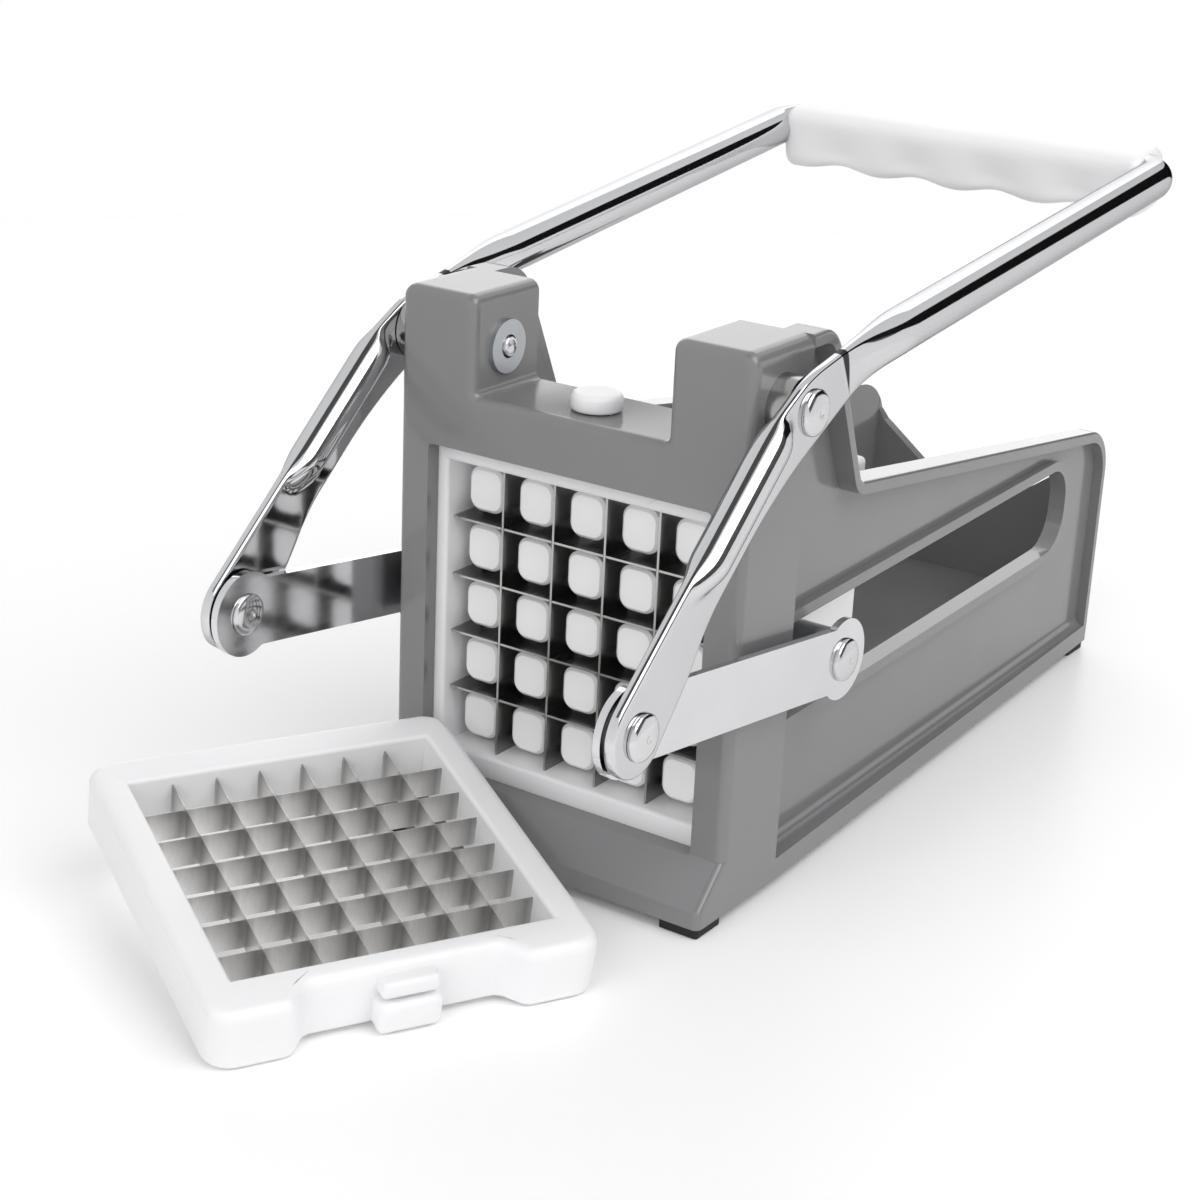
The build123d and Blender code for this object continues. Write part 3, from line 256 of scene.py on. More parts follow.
def make_materials():
    """Paints the CAD nodes and returns the finishes of the modelled pieces."""
    grey = plastic("body_grey", (0.203, 0.203, 0.207), (0.216, 0.216, 0.221), (0.12, 0.18), 0.03)
    grey.set(IOR=1.62)
    white = plastic("white_plastic", (0.87, 0.87, 0.88), (0.895, 0.895, 0.905), (0.28, 0.38), 0.04)
    # The pusher's white is a lighter copy of the white plastic: painted light, to make up for the shade on
    # the fingers inside the window.
    finger = plastic("pusher_white", (0.945, 0.945, 0.95), (0.965, 0.965, 0.97), (0.28, 0.38), 0.04)
    grip = plastic("grip_plastic", (0.91, 0.91, 0.92), (0.935, 0.935, 0.945), (0.34, 0.46), 0.05)
    blade = metal("blade_steel", (0.60, 0.59, 0.575), (0.72, 0.705, 0.69), (0.20, 0.32), 0.05, BLADE_GRAIN)
    # The coarse grid's steel is painted dark as painted shade for the shaded inside of the window; only its
    # front and rear edges stay paler.
    grid = metal("grid_steel_painted_shade", (0.24, 0.235, 0.23), (0.34, 0.333, 0.325), (0.18, 0.32), 0.2, GRID_GRAIN)
    bright_edges(grid, (0.52, 0.52, 0.51))
    chrome = metal("lever_chrome", (0.68, 0.68, 0.69), (0.72, 0.72, 0.73), (0.05, 0.10), 0.02, 300)
    chrome.set(Specular_Tint=(0.55, 0.55, 0.56, 1))
    # Painted shade in the fold where the pressed plate opens out into the tube.
    low, high = on_arm(*BACK_EDGE[-1]), on_arm(*FRONT_EDGE[-1])
    painted_fold_shade(chrome, low, high, high + FOLD_REACH, FOLD_PAINTED_SHADE)
    flat = metal("link_chrome", (0.70, 0.70, 0.715), (0.76, 0.76, 0.775), (0.08, 0.16), 0.05, LINK_GRAIN)
    rivet = metal("rivet_chrome", (0.66, 0.66, 0.67), (0.72, 0.72, 0.73), (0.10, 0.18), 0.03, 900)
    turned = metal("turned_steel", (0.34, 0.33, 0.32), (0.50, 0.49, 0.48), (0.12, 0.24), 0.2, TURNED_GRAIN)
    zinc = metal("zinc", (0.50, 0.52, 0.54), (0.66, 0.68, 0.70), (0.25, 0.45), 0.15, 700)
    rubber = plastic("foot_rubber", (0.010, 0.010, 0.010), (0.018, 0.018, 0.018), (0.65, 0.85), 0.4, 1500)
    painted = {
        grey: ("housing",),
        white: ("coarse_cassette_frame", "fine_cassette_frame", "lock_knob"),
        finger: ("pusher_block",),
        grip: ("handle_grip",),
        blade: ("fine_blades_lengthwise", "fine_blades_crosswise", "pusher_axle"),
        grid: ("coarse_blades_vertical", "coarse_blades_horizontal"),
        chrome: ("lever_tube",),
        flat: ("right_link", "left_link"),
        rivet: (
            "pivot_rivets", "right_crank_rivet", "left_crank_rivet", "right_axle_rivet", "left_axle_rivet",
        ),
        zinc: ("pivot_washers", "right_crank_washer", "left_crank_washer", "axle_sleeves"),
        turned: ("pivot_spacers",),
        rubber: ("front_feet", "rear_feet"),
    }
    for shader, nodes in painted.items():
        for node in nodes:
            mesh = NODES[node].data
            mesh.materials.clear()
            mesh.materials.append(shader.material)
    return chrome.material, grip.material, rivet.material, white.material


# ---------------------------------------------------------------- mesh helpers
SMOOTHING_SAMPLES = 9


def new_piece(name, points, faces, material, node, body, slot, sharp_angle):
    """Closed mesh from points in the working axes in millimetres, in place of a CAD node."""
    mesh = bpy.data.meshes.new(name)
    mesh.from_pydata([at(*p) for p in points], [], faces)
    made = bmesh.new()
    made.from_mesh(mesh)
    bmesh.ops.recalc_face_normals(made, faces=made.faces)
    made.to_mesh(mesh)
    made.free()
    mesh.polygons.foreach_set("use_smooth", [True] * len(mesh.polygons))
    mesh.set_sharp_from_angle(angle=math.radians(sharp_angle))
    mesh.materials.append(material)
    piece = bpy.data.objects.new(name, mesh)
    bpy.context.scene.collection.objects.link(piece)
    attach(piece, body)
    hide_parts(node)


def skin(rings, base=0):
    """Points of the rings and quads between them, with a flat face on each end."""
    count = len(rings[0])
    points = [p for ring in rings for p in ring]
    faces = []
    for k in range(len(rings) - 1):
        low, high = base + k * count, base + (k + 1) * count
        for j in range(count):
            n = (j + 1) % count
            faces.append((low + j, low + n, high + n, high + j))
    faces.append(tuple(base + j for j in range(count)))
    faces.append(tuple(base + (len(rings) - 1) * count + j for j in reversed(range(count))))
    return points, faces


def smoothed(stops, position, window):
    """Height of a line through (position, height) stops, averaged over a window to round its corners."""
    total = 0.0
    for k in range(SMOOTHING_SAMPLES):
        p = position + window * (2 * k / (SMOOTHING_SAMPLES - 1) - 1)
        if p <= stops[0][0]:
            total += stops[0][1]
        elif p >= stops[-1][0]:
            (a, u), (b, v) = stops[-2:]
            total += v + (v - u) / (b - a) * (p - b)
        else:
            for (a, u), (b, v) in zip(stops, stops[1:]):
                if a <= p <= b:
                    total += u + (v - u) * (p - a) / (b - a)
                    break
    return total / SMOOTHING_SAMPLES


def ease(t):
    """Smooth step from 0 to 1."""
    t = min(max(t, 0.0), 1.0)
    return t * t * (3 - 2 * t)


# ---------------------------------------------------------------- lever
# The arm's outline is given along the line from crank to pivot, and across it towards the front.
ALONG = (PIVOT - CRANK).normalized()
ACROSS = Vector((0, -ALONG.z, ALONG.y))
PLATE_X, PLATE_HALF, PLATE_EDGE = 49.4, 1.2, 0.9
EYE_RADIUS, EYE_SHIFT, EYE_STATIONS = 8.7, 0.7, 15
ARM_STATIONS, STATION_STEP, END_STATIONS = 73, 1.1, 8
# The arm's edges as (distance along, distance across) stops, and the windows that round their corners.
FRONT_EDGE = ((0, 9.4), (65.3, 9.6), (79.3, 6.4), (89.0, 0.8))
BACK_EDGE = ((0, -8.0), (16, -5.8), (27, -2.3), (50, -2.3), (63.3, -4.0), (86.0, -9.9))
FRONT_WINDOW, BACK_WINDOW = 4, 5
# The ridge starts behind the eye, is full over the middle and has gone before the pivot.
RIDGE_START, RIDGE_FULL, RIDGE_SHOULDER, RIDGE_END = 21.0, 36.0, 60.0, 71.5
RIDGE_RADIUS, RIDGE_NARROW, RIDGE_BLEND = 3.9, 0.45, 0.25
# From the plate to the round tube: the directions in which the edges leave the plate, and the swelling.
OPENING_HIGH_WAY, OPENING_LOW_WAY = Vector((0, 0.975, 0.22)), Vector((0, 0.90, 0.43))
OPENING_RINGS, ROUNDING_RATE = 26, 1.15
SWELL_RUN, SWELL_SHAPE, SWELL_CROWN = 1.7, 1.1, 0.8
FOLD_DEPTH, FOLD_FADE, FOLD_WIDTH = 0.30, 1.3, 0.40
# The round tube splays outwards and rises towards the rear bend.
TUBE_RADIUS, TUBE_FRONT_X, TUBE_REAR_X = 4.8, 50.0, 52.48
TUBE_FRONT_Y, TUBE_REAR_Y, TUBE_RISE, TUBE_SLOPE = 38.0, 175.5, 114.9, 0.123
ROUND_FROM_Y, STRAIGHT_RINGS, STRAIGHT_SHARE = 46.0, 12, 0.9
BEND_RADIUS, BEND_STEPS = 7.0, 16
CROSS_BAR_X = (40, 20, 0)
RING_POINTS = 72


def on_arm(distance, side):
    """Point of the arm in the pins' plane."""
    return CRANK + ALONG * distance + ACROSS * side


def front_side(distance):
    """Where the arm's front edge lies across it."""
    return smoothed(FRONT_EDGE, distance, min(FRONT_WINDOW, distance))


def back_side(distance):
    """Where the arm's back edge lies across it."""
    return smoothed(BACK_EDGE, distance, min(BACK_WINDOW, distance))


def plate_half(edge_distance):
    """Half thickness of the flat arm, rolled off towards its edges."""
    if edge_distance >= PLATE_EDGE:
        return PLATE_HALF
    drop = PLATE_EDGE - max(edge_distance, 0.0)
    return PLATE_HALF - PLATE_EDGE + math.sqrt(PLATE_EDGE**2 - drop**2)


def arm_ring(low, high, x_middle, half_at):
    """Ring between a section's low and high edge points, with a half thickness for each place across it."""
    middle, reach = (low + high) / 2, (high - low).length / 2
    up = (high - low).normalized()
    ring = []
    for j in range(RING_POINTS):
        offset = reach * math.cos(2 * math.pi * j / RING_POINTS)
        side = (0 < j < RING_POINTS / 2) - (j > RING_POINTS / 2)
        p = middle + up * offset
        ring.append((x_middle + side * half_at(offset, reach), p.y, p.z))
    return ring


def flat_section(offset, reach):
    """Half thickness of the pressed plate."""
    return plate_half(reach - abs(offset))


def ridged_section(front, back, growth):
    """Half thickness of the arm where the tube's wall stays round, as a ridge along the front edge."""
    radius = RIDGE_RADIUS * (RIDGE_NARROW + (1 - RIDGE_NARROW) * growth)
    height = RIDGE_RADIUS * growth
    centre = front - radius
    blend = RIDGE_BLEND * min(height, 1)

    def half_at(offset, reach):
        flat = flat_section(offset, reach)
        inside = 1 - (((front + back) / 2 + offset - centre) / radius) ** 2
        ridge = height * math.sqrt(inside) if inside > 0 else 0.0
        return (flat + ridge + math.sqrt((flat - ridge) ** 2 + blend**2)) / 2

    return half_at


def opening_section(t):
    """Half thickness at a share t of the way from the plate to the round tube, with a fold at the plate."""
    thick = PLATE_HALF + (TUBE_RADIUS - PLATE_HALF) * (1 - (1 - t) ** SWELL_RUN) ** SWELL_SHAPE
    roundness = ease(t * ROUNDING_RATE)
    fold = FOLD_DEPTH * (1 - t) ** FOLD_FADE

    def half_at(offset, reach):
        u = min(abs(offset) / reach, 1.0)
        swollen = PLATE_HALF + (thick - PLATE_HALF) * (1 - u**2) * SWELL_CROWN
        flat = flat_section(offset, reach) / PLATE_HALF * swollen
        pressed = 1 - fold * math.exp(-((u / FOLD_WIDTH) ** 2))
        return (1 - roundness) * flat + roundness * thick * math.sqrt(max(1 - u * u, 0)) * pressed

    return half_at


def arm_rings():
    """Flattened tube from the crank eye to the pivot plate's end, with that end's low and high points."""
    rings = []
    for k in range(EYE_STATIONS):
        distance = -EYE_RADIUS * math.cos(math.pi / 2 * (k + 0.5) / EYE_STATIONS)
        reach = math.sqrt(EYE_RADIUS**2 - distance**2)
        low, high = on_arm(distance, EYE_SHIFT - reach), on_arm(distance, EYE_SHIFT + reach)
        rings.append(arm_ring(low, high, PLATE_X, flat_section))
    for k in range(ARM_STATIONS):
        distance = STATION_STEP * k
        front, back = front_side(distance), back_side(distance)
        risen = ease((distance - RIDGE_START) / (RIDGE_FULL - RIDGE_START))
        fallen = ease((distance - RIDGE_SHOULDER) / (RIDGE_END - RIDGE_SHOULDER))
        section = ridged_section(front, back, risen * (1 - fallen**2))
        rings.append(arm_ring(on_arm(distance, back), on_arm(distance, front), PLATE_X, section))
    last = distance
    for k in range(1, END_STATIONS + 1):
        front_distance = last + (FRONT_EDGE[-1][0] - last) * k / END_STATIONS
        back_distance = last + (BACK_EDGE[-1][0] - last) * k / END_STATIONS
        low = on_arm(back_distance, back_side(back_distance))
        high = on_arm(front_distance, front_side(front_distance))
        rings.append(arm_ring(low, high, PLATE_X, flat_section))
    return rings, low, high


def tube_middle(x, y):
    """Point of the round tube's middle line, which rises evenly towards the rear."""
    return Vector((x, y, TUBE_RISE + TUBE_SLOPE * y))


def hermite(a, a_way, b, b_way, t):
    """Point at a share t of the curve that leaves a along a_way and arrives at b along b_way."""
    length = (b - a).length
    return (
        a * (2 * t**3 - 3 * t**2 + 1) + a_way * length * (t**3 - 2 * t**2 + t)
        + b * (3 * t**2 - 2 * t**3) + b_way * length * (t**3 - t**2)
    )


def opening_rings(low, high):
    """Where the pressed plate opens out into the round tube, and the x at which it ends."""
    way = Vector((0, 1, TUBE_SLOPE)).normalized()
    up = Vector((0, -way.z, way.y))
    share = (ROUND_FROM_Y - TUBE_FRONT_Y) / (TUBE_REAR_Y - TUBE_FRONT_Y)
    end_x = TUBE_FRONT_X + (TUBE_REAR_X - TUBE_FRONT_X) * share
    end = tube_middle(0, ROUND_FROM_Y)
    rings = []
    for k in range(1, OPENING_RINGS + 1):
        t = k / OPENING_RINGS
        high_point = hermite(high, OPENING_HIGH_WAY, end + up * TUBE_RADIUS, way, t)
        low_point = hermite(low, OPENING_LOW_WAY, end - up * TUBE_RADIUS, way, t)
        x = PLATE_X + (end_x - PLATE_X) * ease(t)
        rings.append(arm_ring(low_point, high_point, x, opening_section(t)))
    return rings, end_x


def tube_rings(start_x):
    """Round tube over the rear bend to the middle of the cross bar."""
    up = Vector((0, -TUBE_SLOPE, 1)).normalized()
    splay = math.atan2(TUBE_REAR_X - TUBE_FRONT_X, TUBE_REAR_Y - TUBE_FRONT_Y)
    stops = []
    for k in range(1, STRAIGHT_RINGS + 1):
        share = STRAIGHT_SHARE * k / STRAIGHT_RINGS
        x = start_x + (TUBE_REAR_X - start_x) * share
        stops.append((x, ROUND_FROM_Y + (TUBE_REAR_Y - ROUND_FROM_Y) * share, splay))
    sweep = math.pi / 2 + splay
    reach = BEND_RADIUS * math.tan(sweep / 2)
    start = Vector((TUBE_REAR_X - reach * math.sin(splay), TUBE_REAR_Y - reach * math.cos(splay)))
    centre = start + Vector((-math.cos(splay), math.sin(splay))) * BEND_RADIUS
    for k in range(BEND_STEPS + 1):
        turn = splay - sweep * k / BEND_STEPS
        x, y = centre + BEND_RADIUS * Vector((math.cos(turn), -math.sin(turn)))
        stops.append((x, y, turn))
    stops += [(x, TUBE_REAR_Y, -math.pi / 2) for x in CROSS_BAR_X]
    rings = []
    for x, y, turn in stops:
        way = Vector((math.sin(turn), math.cos(turn), TUBE_SLOPE * math.cos(turn))).normalized()
        out = way.cross(up)
        middle = tube_middle(x, y)
        ring = []
        for j in range(RING_POINTS):
            a = 2 * math.pi * j / RING_POINTS
            ring.append(tuple(middle + TUBE_RADIUS * (math.cos(a) * up + math.sin(a) * out)))
        rings.append(ring)
    return rings


def make_lever(material):
    """One tube bent to a U, with both ends pressed to arms: the right half and its mirror image."""
    arm, low, high = arm_rings()
    opening, end_x = opening_rings(low, high)
    right = arm + opening + tube_rings(end_x)
    left = [[(-x, y, z) for x, y, z in ring] for ring in reversed(right[:-1])]
    new_piece("bent_lever", *skin(right + left), material, "lever_tube", "lever", "lever_chrome", 50)


# ---------------------------------------------------------------- grip
# Depth and height are measured from the cross bar's middle line, at the tube's tilt.
GRIP_HALF, GRIP_DEPTH, GRIP_TOP, GRIP_LOW, GRIP_END = 50.2, 8.5, 5.4, -10.3, 3.2
GRIP_SQUARENESS, GRIP_RINGS, GRIP_POINTS, GRIP_END_CROWDING = 0.42, 120, 64, 0.8
FINGER_PITCH, FINGER_WAVE = 22.3, 1.5
HOLLOW_DEPTH, HOLLOW_WIDTH, HOLLOW_HEIGHT, HOLLOW_MIDDLE, HOLLOW_FADE = 1.7, 6.5, 3.6, -4.6, 4
FINGERS = [FINGER_PITCH * (k - 1.5) for k in range(4)]


def grip_section(x):
    """Points (depth, height) round the grip at x, from the cross bar's middle line."""
    end = GRIP_HALF - abs(x)
    shrink = GRIP_END - math.sqrt(max(GRIP_END**2 - (GRIP_END - end) ** 2, 0)) if end < GRIP_END else 0.0
    beside = min(abs(x - finger) for finger in FINGERS)
    wave = 0.5 + 0.5 * math.cos(2 * math.pi * beside / FINGER_PITCH) if beside < FINGER_PITCH / 2 else 0.0
    low, high = GRIP_LOW + FINGER_WAVE * wave + shrink, GRIP_TOP - shrink
    section = []
    for j in range(GRIP_POINTS):
        turn = 2 * math.pi * (j + 0.5) / GRIP_POINTS
        c, s = math.cos(turn), math.sin(turn)
        depth = math.copysign(abs(c) ** GRIP_SQUARENESS, c) * (GRIP_DEPTH - shrink)
        height = (high + low) / 2 + math.copysign(abs(s) ** GRIP_SQUARENESS, s) * (high - low) / 2
        if depth < 0:
            spread = (beside / HOLLOW_WIDTH) ** 2 + ((height - HOLLOW_MIDDLE) / HOLLOW_HEIGHT) ** 2
            depth += HOLLOW_DEPTH * math.exp(-spread) * min(1.0, -depth / HOLLOW_FADE)
        section.append((depth, height))
    return section


def make_grip(material):
    """White grip: rounded block with four finger hollows in front and waves along its underside."""
    middle, tilt = tube_middle(0, TUBE_REAR_Y), math.atan(TUBE_SLOPE)
    c, s = math.cos(tilt), math.sin(tilt)
    rings = []
    for k in range(GRIP_RINGS + 1):
        share = 2 * k / GRIP_RINGS - 1
        x = GRIP_HALF * math.copysign(abs(share) ** GRIP_END_CROWDING, share)
        rings.append([(x, middle.y + v * c - w * s, middle.z + v * s + w * c) for v, w in grip_section(x)])
    new_piece("finger_grip", *skin(rings), material, "handle_grip", "lever", "grip_white", 60)


# ---------------------------------------------------------------- turned pieces
RIVET_POINTS, AXIS_RADIUS = 40, 0.02
HEAD_RADIUS, HEAD_HEIGHT, PIN_RADIUS = 4.8, 1.9, 2.48
CRANK_HEAD_X, CRANK_TAIL_X, CRANK_TAIL_RADIUS, CRANK_TAIL_HEIGHT = 50.7, 45.8, 4.4, 1.2
AXLE_HEAD_X, AXLE_PIN_END_X = 47.55, 45.9
PIVOT_HEAD_X = 50.65
# The pivot pin from its head to the peened tip, as (x, radius).
PIVOT_PIN = (
    (PIVOT_HEAD_X, 2.45), (23.6, 2.45), (23.1, 2.15), (22.6, 2.1), (22.45, 1.95), (22.4, 1.5), (22.55, 1.2),
    (22.55, AXIS_RADIUS),
)
# A rivet's dome from its dimple to its rim, as (share of the height, share of the radius).
DOME = (
    (0.82, 0.0), (0.83, 0.08), (0.90, 0.15), (0.985, 0.20), (1.0, 0.26), (0.97, 0.42), (0.87, 0.63),
    (0.72, 0.80), (0.54, 0.92), (0.38, 0.98), (0.22, 1.0), (0.0, 1.0),
)
# The knob's profile is (height, radius), and the tongue's sections are (z, half width, half thickness).
KNOB_Y, KNOB_Z, KNOB_POINTS = 10.7, 101.3, 56
KNOB_PROFILE = (
    (0.0, 5.15), (0.15, 5.35), (0.6, 5.5), (2.5, 5.5), (3.1, 5.35), (3.5, 5.0), (3.72, 4.5), (3.75, 4.0),
    (3.66, 3.0), (3.6, 0.05),
)
TONGUE_Y = 9.85
TONGUE_SECTIONS = ((90.8, 4.0, 0.25), (91.4, 4.5, 0.35), (101.6, 4.5, 0.35))


def circle(radius, count):
    """Points (u, v) of a circle."""
    turns = [2 * math.pi * j / count for j in range(count)]
    return [(radius * math.cos(a), radius * math.sin(a)) for a in turns]


def domed_head(x, radius, height, way):
    """Profile (x, radius) of a rivet head with a struck dimple, from its middle to its rim at x."""
    return [(x + way * height * rise, max(radius * share, AXIS_RADIUS)) for rise, share in DOME]


def turned_piece(name, profile, centre, sides, material, node, body):
    """Profile (x, radius) turned round the X direction at a centre, on one side or on both."""
    points, faces = [], []
    for side in sides:
        rings = []
        for x, radius in profile:
            rings.append([(side * x, centre.y + u, centre.z + v) for u, v in circle(radius, RIVET_POINTS)])
        more, skinned = skin(rings, len(points))
        points, faces = points + more, faces + skinned
    new_piece(name, points, faces, material, node, body, "rivet_chrome", 30)


def make_rivets(material):
    """Domed rivets; the pivot pins end in a small peened tip inside the washer's hole."""
    crank = domed_head(CRANK_HEAD_X, HEAD_RADIUS, HEAD_HEIGHT, 1)
    crank += [(CRANK_HEAD_X, PIN_RADIUS), (CRANK_TAIL_X, PIN_RADIUS)]
    crank += reversed(domed_head(CRANK_TAIL_X, CRANK_TAIL_RADIUS, CRANK_TAIL_HEIGHT, -1))
    axle = domed_head(AXLE_HEAD_X, HEAD_RADIUS, HEAD_HEIGHT, 1)
    axle += [(AXLE_HEAD_X, PIN_RADIUS), (AXLE_PIN_END_X, PIN_RADIUS), (AXLE_PIN_END_X, AXIS_RADIUS)]
    for side, word in ((1, "right"), (-1, "left")):
        for pin, profile, centre in (("crank", crank, CRANK), ("axle", axle, AXLE)):
            name, node = f"{word}_{pin}_pin", f"{word}_{pin}_rivet"
            turned_piece(name, profile, centre, (side,), material, node, "link_" + word)
    pivot = domed_head(PIVOT_HEAD_X, HEAD_RADIUS, HEAD_HEIGHT, 1) + list(PIVOT_PIN)
    turned_piece("pivot_pins", pivot, PIVOT, (1, -1), material, "pivot_rivets", "lever")


def make_knob(material):
    """Low round knob with a soft rim and a slightly hollow top, on its flat tongue."""
    rings = []
    for height, radius in KNOB_PROFILE:
        rings.append([(u, KNOB_Y + v, KNOB_Z + height) for u, v in circle(radius, KNOB_POINTS)])
    points, faces = skin(rings)
    tongue = []
    for z, half, thick in TONGUE_SECTIONS:
        tongue.append([(half * a, TONGUE_Y + thick * b, z) for a, b in SQUARE])
    more, skinned = skin(tongue, len(points))
    new_piece("latch_knob", points + more, faces + skinned, material, "lock_knob", "knob", "knob_white", 40)


# ---------------------------------------------------------------- cassette frames
# A cassette lies in its own axes with its face at z = 0 and the latch tab towards +y.
APERTURE_HALF, RIM_HALF, RIM_LOW, RIM_TOP, CASSETTE_DEPTH = 33.0, 40.0, -42.0, 43.0, 13.0
CORNER_ROUND, RECESS_ROUND, FACE_ROUND, BACK_ROUND, MOUTH_ROUND = 5.5, 3.4, 2.3, 1.0, 1.0
RECESS_Y, RECESS_NARROW, RECESS_WIDE = 38.1, 20, 24
TAB_BOXES = (((-5.9, 36.5, -5.5), (5.9, 41.5, -1.6), 1.1), ((-6.5, 36.5, -13.0), (6.5, 42.5, -6.4), 1.3))
OUTLINE_STEP, ARC_STEP = 4.0, math.radians(11)
MOUTH_STEPS, FACE_STEPS, BACK_STEPS = 5, 7, 4
HELD_PLACE = (0, 3.9, 51.8)
# The spare cassette stands on its near edge, and the toe carries its back at this height and reach.
SPARE_CORNER, SPARE_TURN = (-33.8, 2.3, 0), -118.75
SPARE_REST_HEIGHT, SPARE_REST_REACH = 14.55, 80.6
SPARE_TILT = math.asin(SPARE_REST_HEIGHT / SPARE_REST_REACH)


def rounded_outline(corners):
    """Closed outline through (x, y, radius) corners, as (point, inward direction) pairs."""
    marks, count = [], len(corners)

    def run_to(start):
        last, inward = marks[-1]
        gap = start - last
        parts = max(1, int(gap.length / OUTLINE_STEP))
        marks.extend((last + gap * (j / parts), inward) for j in range(1, parts))

    for k in range(count):
        before, here, after = (Vector(corners[(k + d) % count][:2]) for d in (-1, 0, 1))
        radius = corners[k][2]
        a, b = (before - here).normalized(), (after - here).normalized()
        half = math.acos(max(-1, min(1, a.dot(b)))) / 2
        start = here + a * (radius / math.tan(half))
        if marks:
            run_to(start)
        centre = here + (a + b).normalized() * (radius / math.sin(half))
        first, sweep = start - centre, math.pi - 2 * half
        turn = 1 if a.x * b.y - a.y * b.x < 0 else -1
        steps = max(4, int(sweep / ARC_STEP))
        for j in range(steps + 1):
            angle = turn * sweep * j / steps
            c, s = math.cos(angle), math.sin(angle)
            out = Vector((first.x * c - first.y * s, first.x * s + first.y * c))
            marks.append((centre + out, -turn * out / radius))
    run_to(marks[0][0])
    return marks


def with_corner_rays(marks):
    """The outline with a point added on each diagonal of the aperture."""
    result = []
    for k, (p, inward) in enumerate(marks):
        q, next_inward = marks[(k + 1) % len(marks)]
        result.append((p, inward))
        for d in map(Vector, SQUARE):
            u, v = p.x * d.y - p.y * d.x, q.x * d.y - q.y * d.x
            if u * v < 0 and p.dot(d) > 0:
                share = u / (u - v)
                result.append((p + (q - p) * share, (inward + (next_inward - inward) * share).normalized()))
    return result


def diagonal(edge_y):
    """Distance, along each axis, of the outline's point on the aperture's diagonal."""
    a, b = RIM_HALF - CORNER_ROUND, abs(edge_y) - CORNER_ROUND
    return (a + b + math.sqrt(2 * CORNER_ROUND**2 - (a - b) ** 2)) / 2


def on_square(p, half):
    """Point of a square round the middle for a point of the outline, side by side."""
    reach = diagonal(RIM_TOP if p.y > 0 else RIM_LOW)
    if abs(p.y) >= abs(p.x):
        return Vector((max(-half, min(half, p.x * half / reach)), math.copysign(half, p.y)))
    return Vector((math.copysign(half, p.x), max(-half, min(half, p.y * half / reach))))


def quarter_turn(steps):
    """(gap to the wall, gap to the face) over a rounded edge of radius 1, from the face to the wall."""
    turns = [math.pi / 2 * j / steps for j in range(steps + 1)]
    return [(1 - math.sin(a), 1 - math.cos(a)) for a in turns]


def cassette_sections():
    """A section for each point of the frame's outline, from the mouth over the face to the back."""
    marks = rounded_outline([
        (-RIM_HALF, RIM_LOW, CORNER_ROUND), (RIM_HALF, RIM_LOW, CORNER_ROUND),
        (RIM_HALF, RIM_TOP, CORNER_ROUND), (RECESS_WIDE, RIM_TOP, RECESS_ROUND),
        (RECESS_NARROW, RECESS_Y, RECESS_ROUND), (-RECESS_NARROW, RECESS_Y, RECESS_ROUND),
        (-RECESS_WIDE, RIM_TOP, RECESS_ROUND), (-RIM_HALF, RIM_TOP, CORNER_ROUND),
    ])
    sections = []
    for p, inward in with_corner_rays(marks):
        section = []
        for across, down in reversed(quarter_turn(MOUTH_STEPS)):
            section.append((*on_square(p, APERTURE_HALF + MOUTH_ROUND * across), -MOUTH_ROUND * down))
        for across, down in quarter_turn(FACE_STEPS):
            section.append((*(p + inward * FACE_ROUND * across), -FACE_ROUND * down))
        for up, across in quarter_turn(BACK_STEPS):
            section.append((*(p + inward * BACK_ROUND * across), BACK_ROUND * up - CASSETTE_DEPTH))
        section.append((*on_square(p, APERTURE_HALF), -CASSETTE_DEPTH))
        sections.append(section)
    return sections


def soft_box(low, high, edge):
    """Box with rounded edges, as points and faces."""
    made = bmesh.new()
    bmesh.ops.create_cube(made, size=1)
    for v in made.verts:
        v.co = [(a + b) / 2 + c * (b - a) for a, b, c in zip(low, high, v.co)]
    bmesh.ops.bevel(made, geom=list(made.edges), offset=edge, segments=4, profile=0.5, affect="EDGES")
    made.verts.ensure_lookup_table()
    points, faces = [tuple(v.co) for v in made.verts], [[v.index for v in f.verts] for f in made.faces]
    made.free()
    return points, faces


def make_cassette(name, place, node, body, material):
    """Moulded frame with soft outer edges, a latch recess and the stepped tab."""
    sections = cassette_sections()
    count, levels = len(sections), len(sections[0])
    points = [p for section in sections for p in section]
    faces = []
    for k in range(count):
        n = (k + 1) % count
        for j in range(levels):
            m = (j + 1) % levels
            faces.append((k * levels + j, n * levels + j, n * levels + m, k * levels + m))
    for low, high, edge in TAB_BOXES:
        more, boxed = soft_box(low, high, edge)
        faces += [[i + len(points) for i in face] for face in boxed]
        points += more
    points = [tuple(place @ Vector(p)) for p in points]
    new_piece(name, points, faces, material, node, body, "cassette_white", 50)


# ---------------------------------------------------------------- fine strips
FINE_CELLS = 7
FINE_PITCH = 2 * APERTURE_HALF / FINE_CELLS
STRIP_REACH, STRIP_STEPS, STRIP_HALF, STRIP_EDGE_HALF, STRIP_BEVEL = 34.4, 40, 0.25, 0.08, 1.1
STRIP_TOP, STRIP_DEPTH, PAINTED_REFLECTION_DEPTH = -2.3, 6.6, 9.0
# Painted shade and light over a cell's length, from one crossing strip to the next.
CELL_PAINTED_SHADE = ((0.0, 0.54), (0.15, 0.36), (0.45, 0.70), (0.80, 1.0), (1.0, 0.68))
STRIP_TINT, BRUSHING = (1.0, 0.985, 0.965), (2600, 2600, 25)


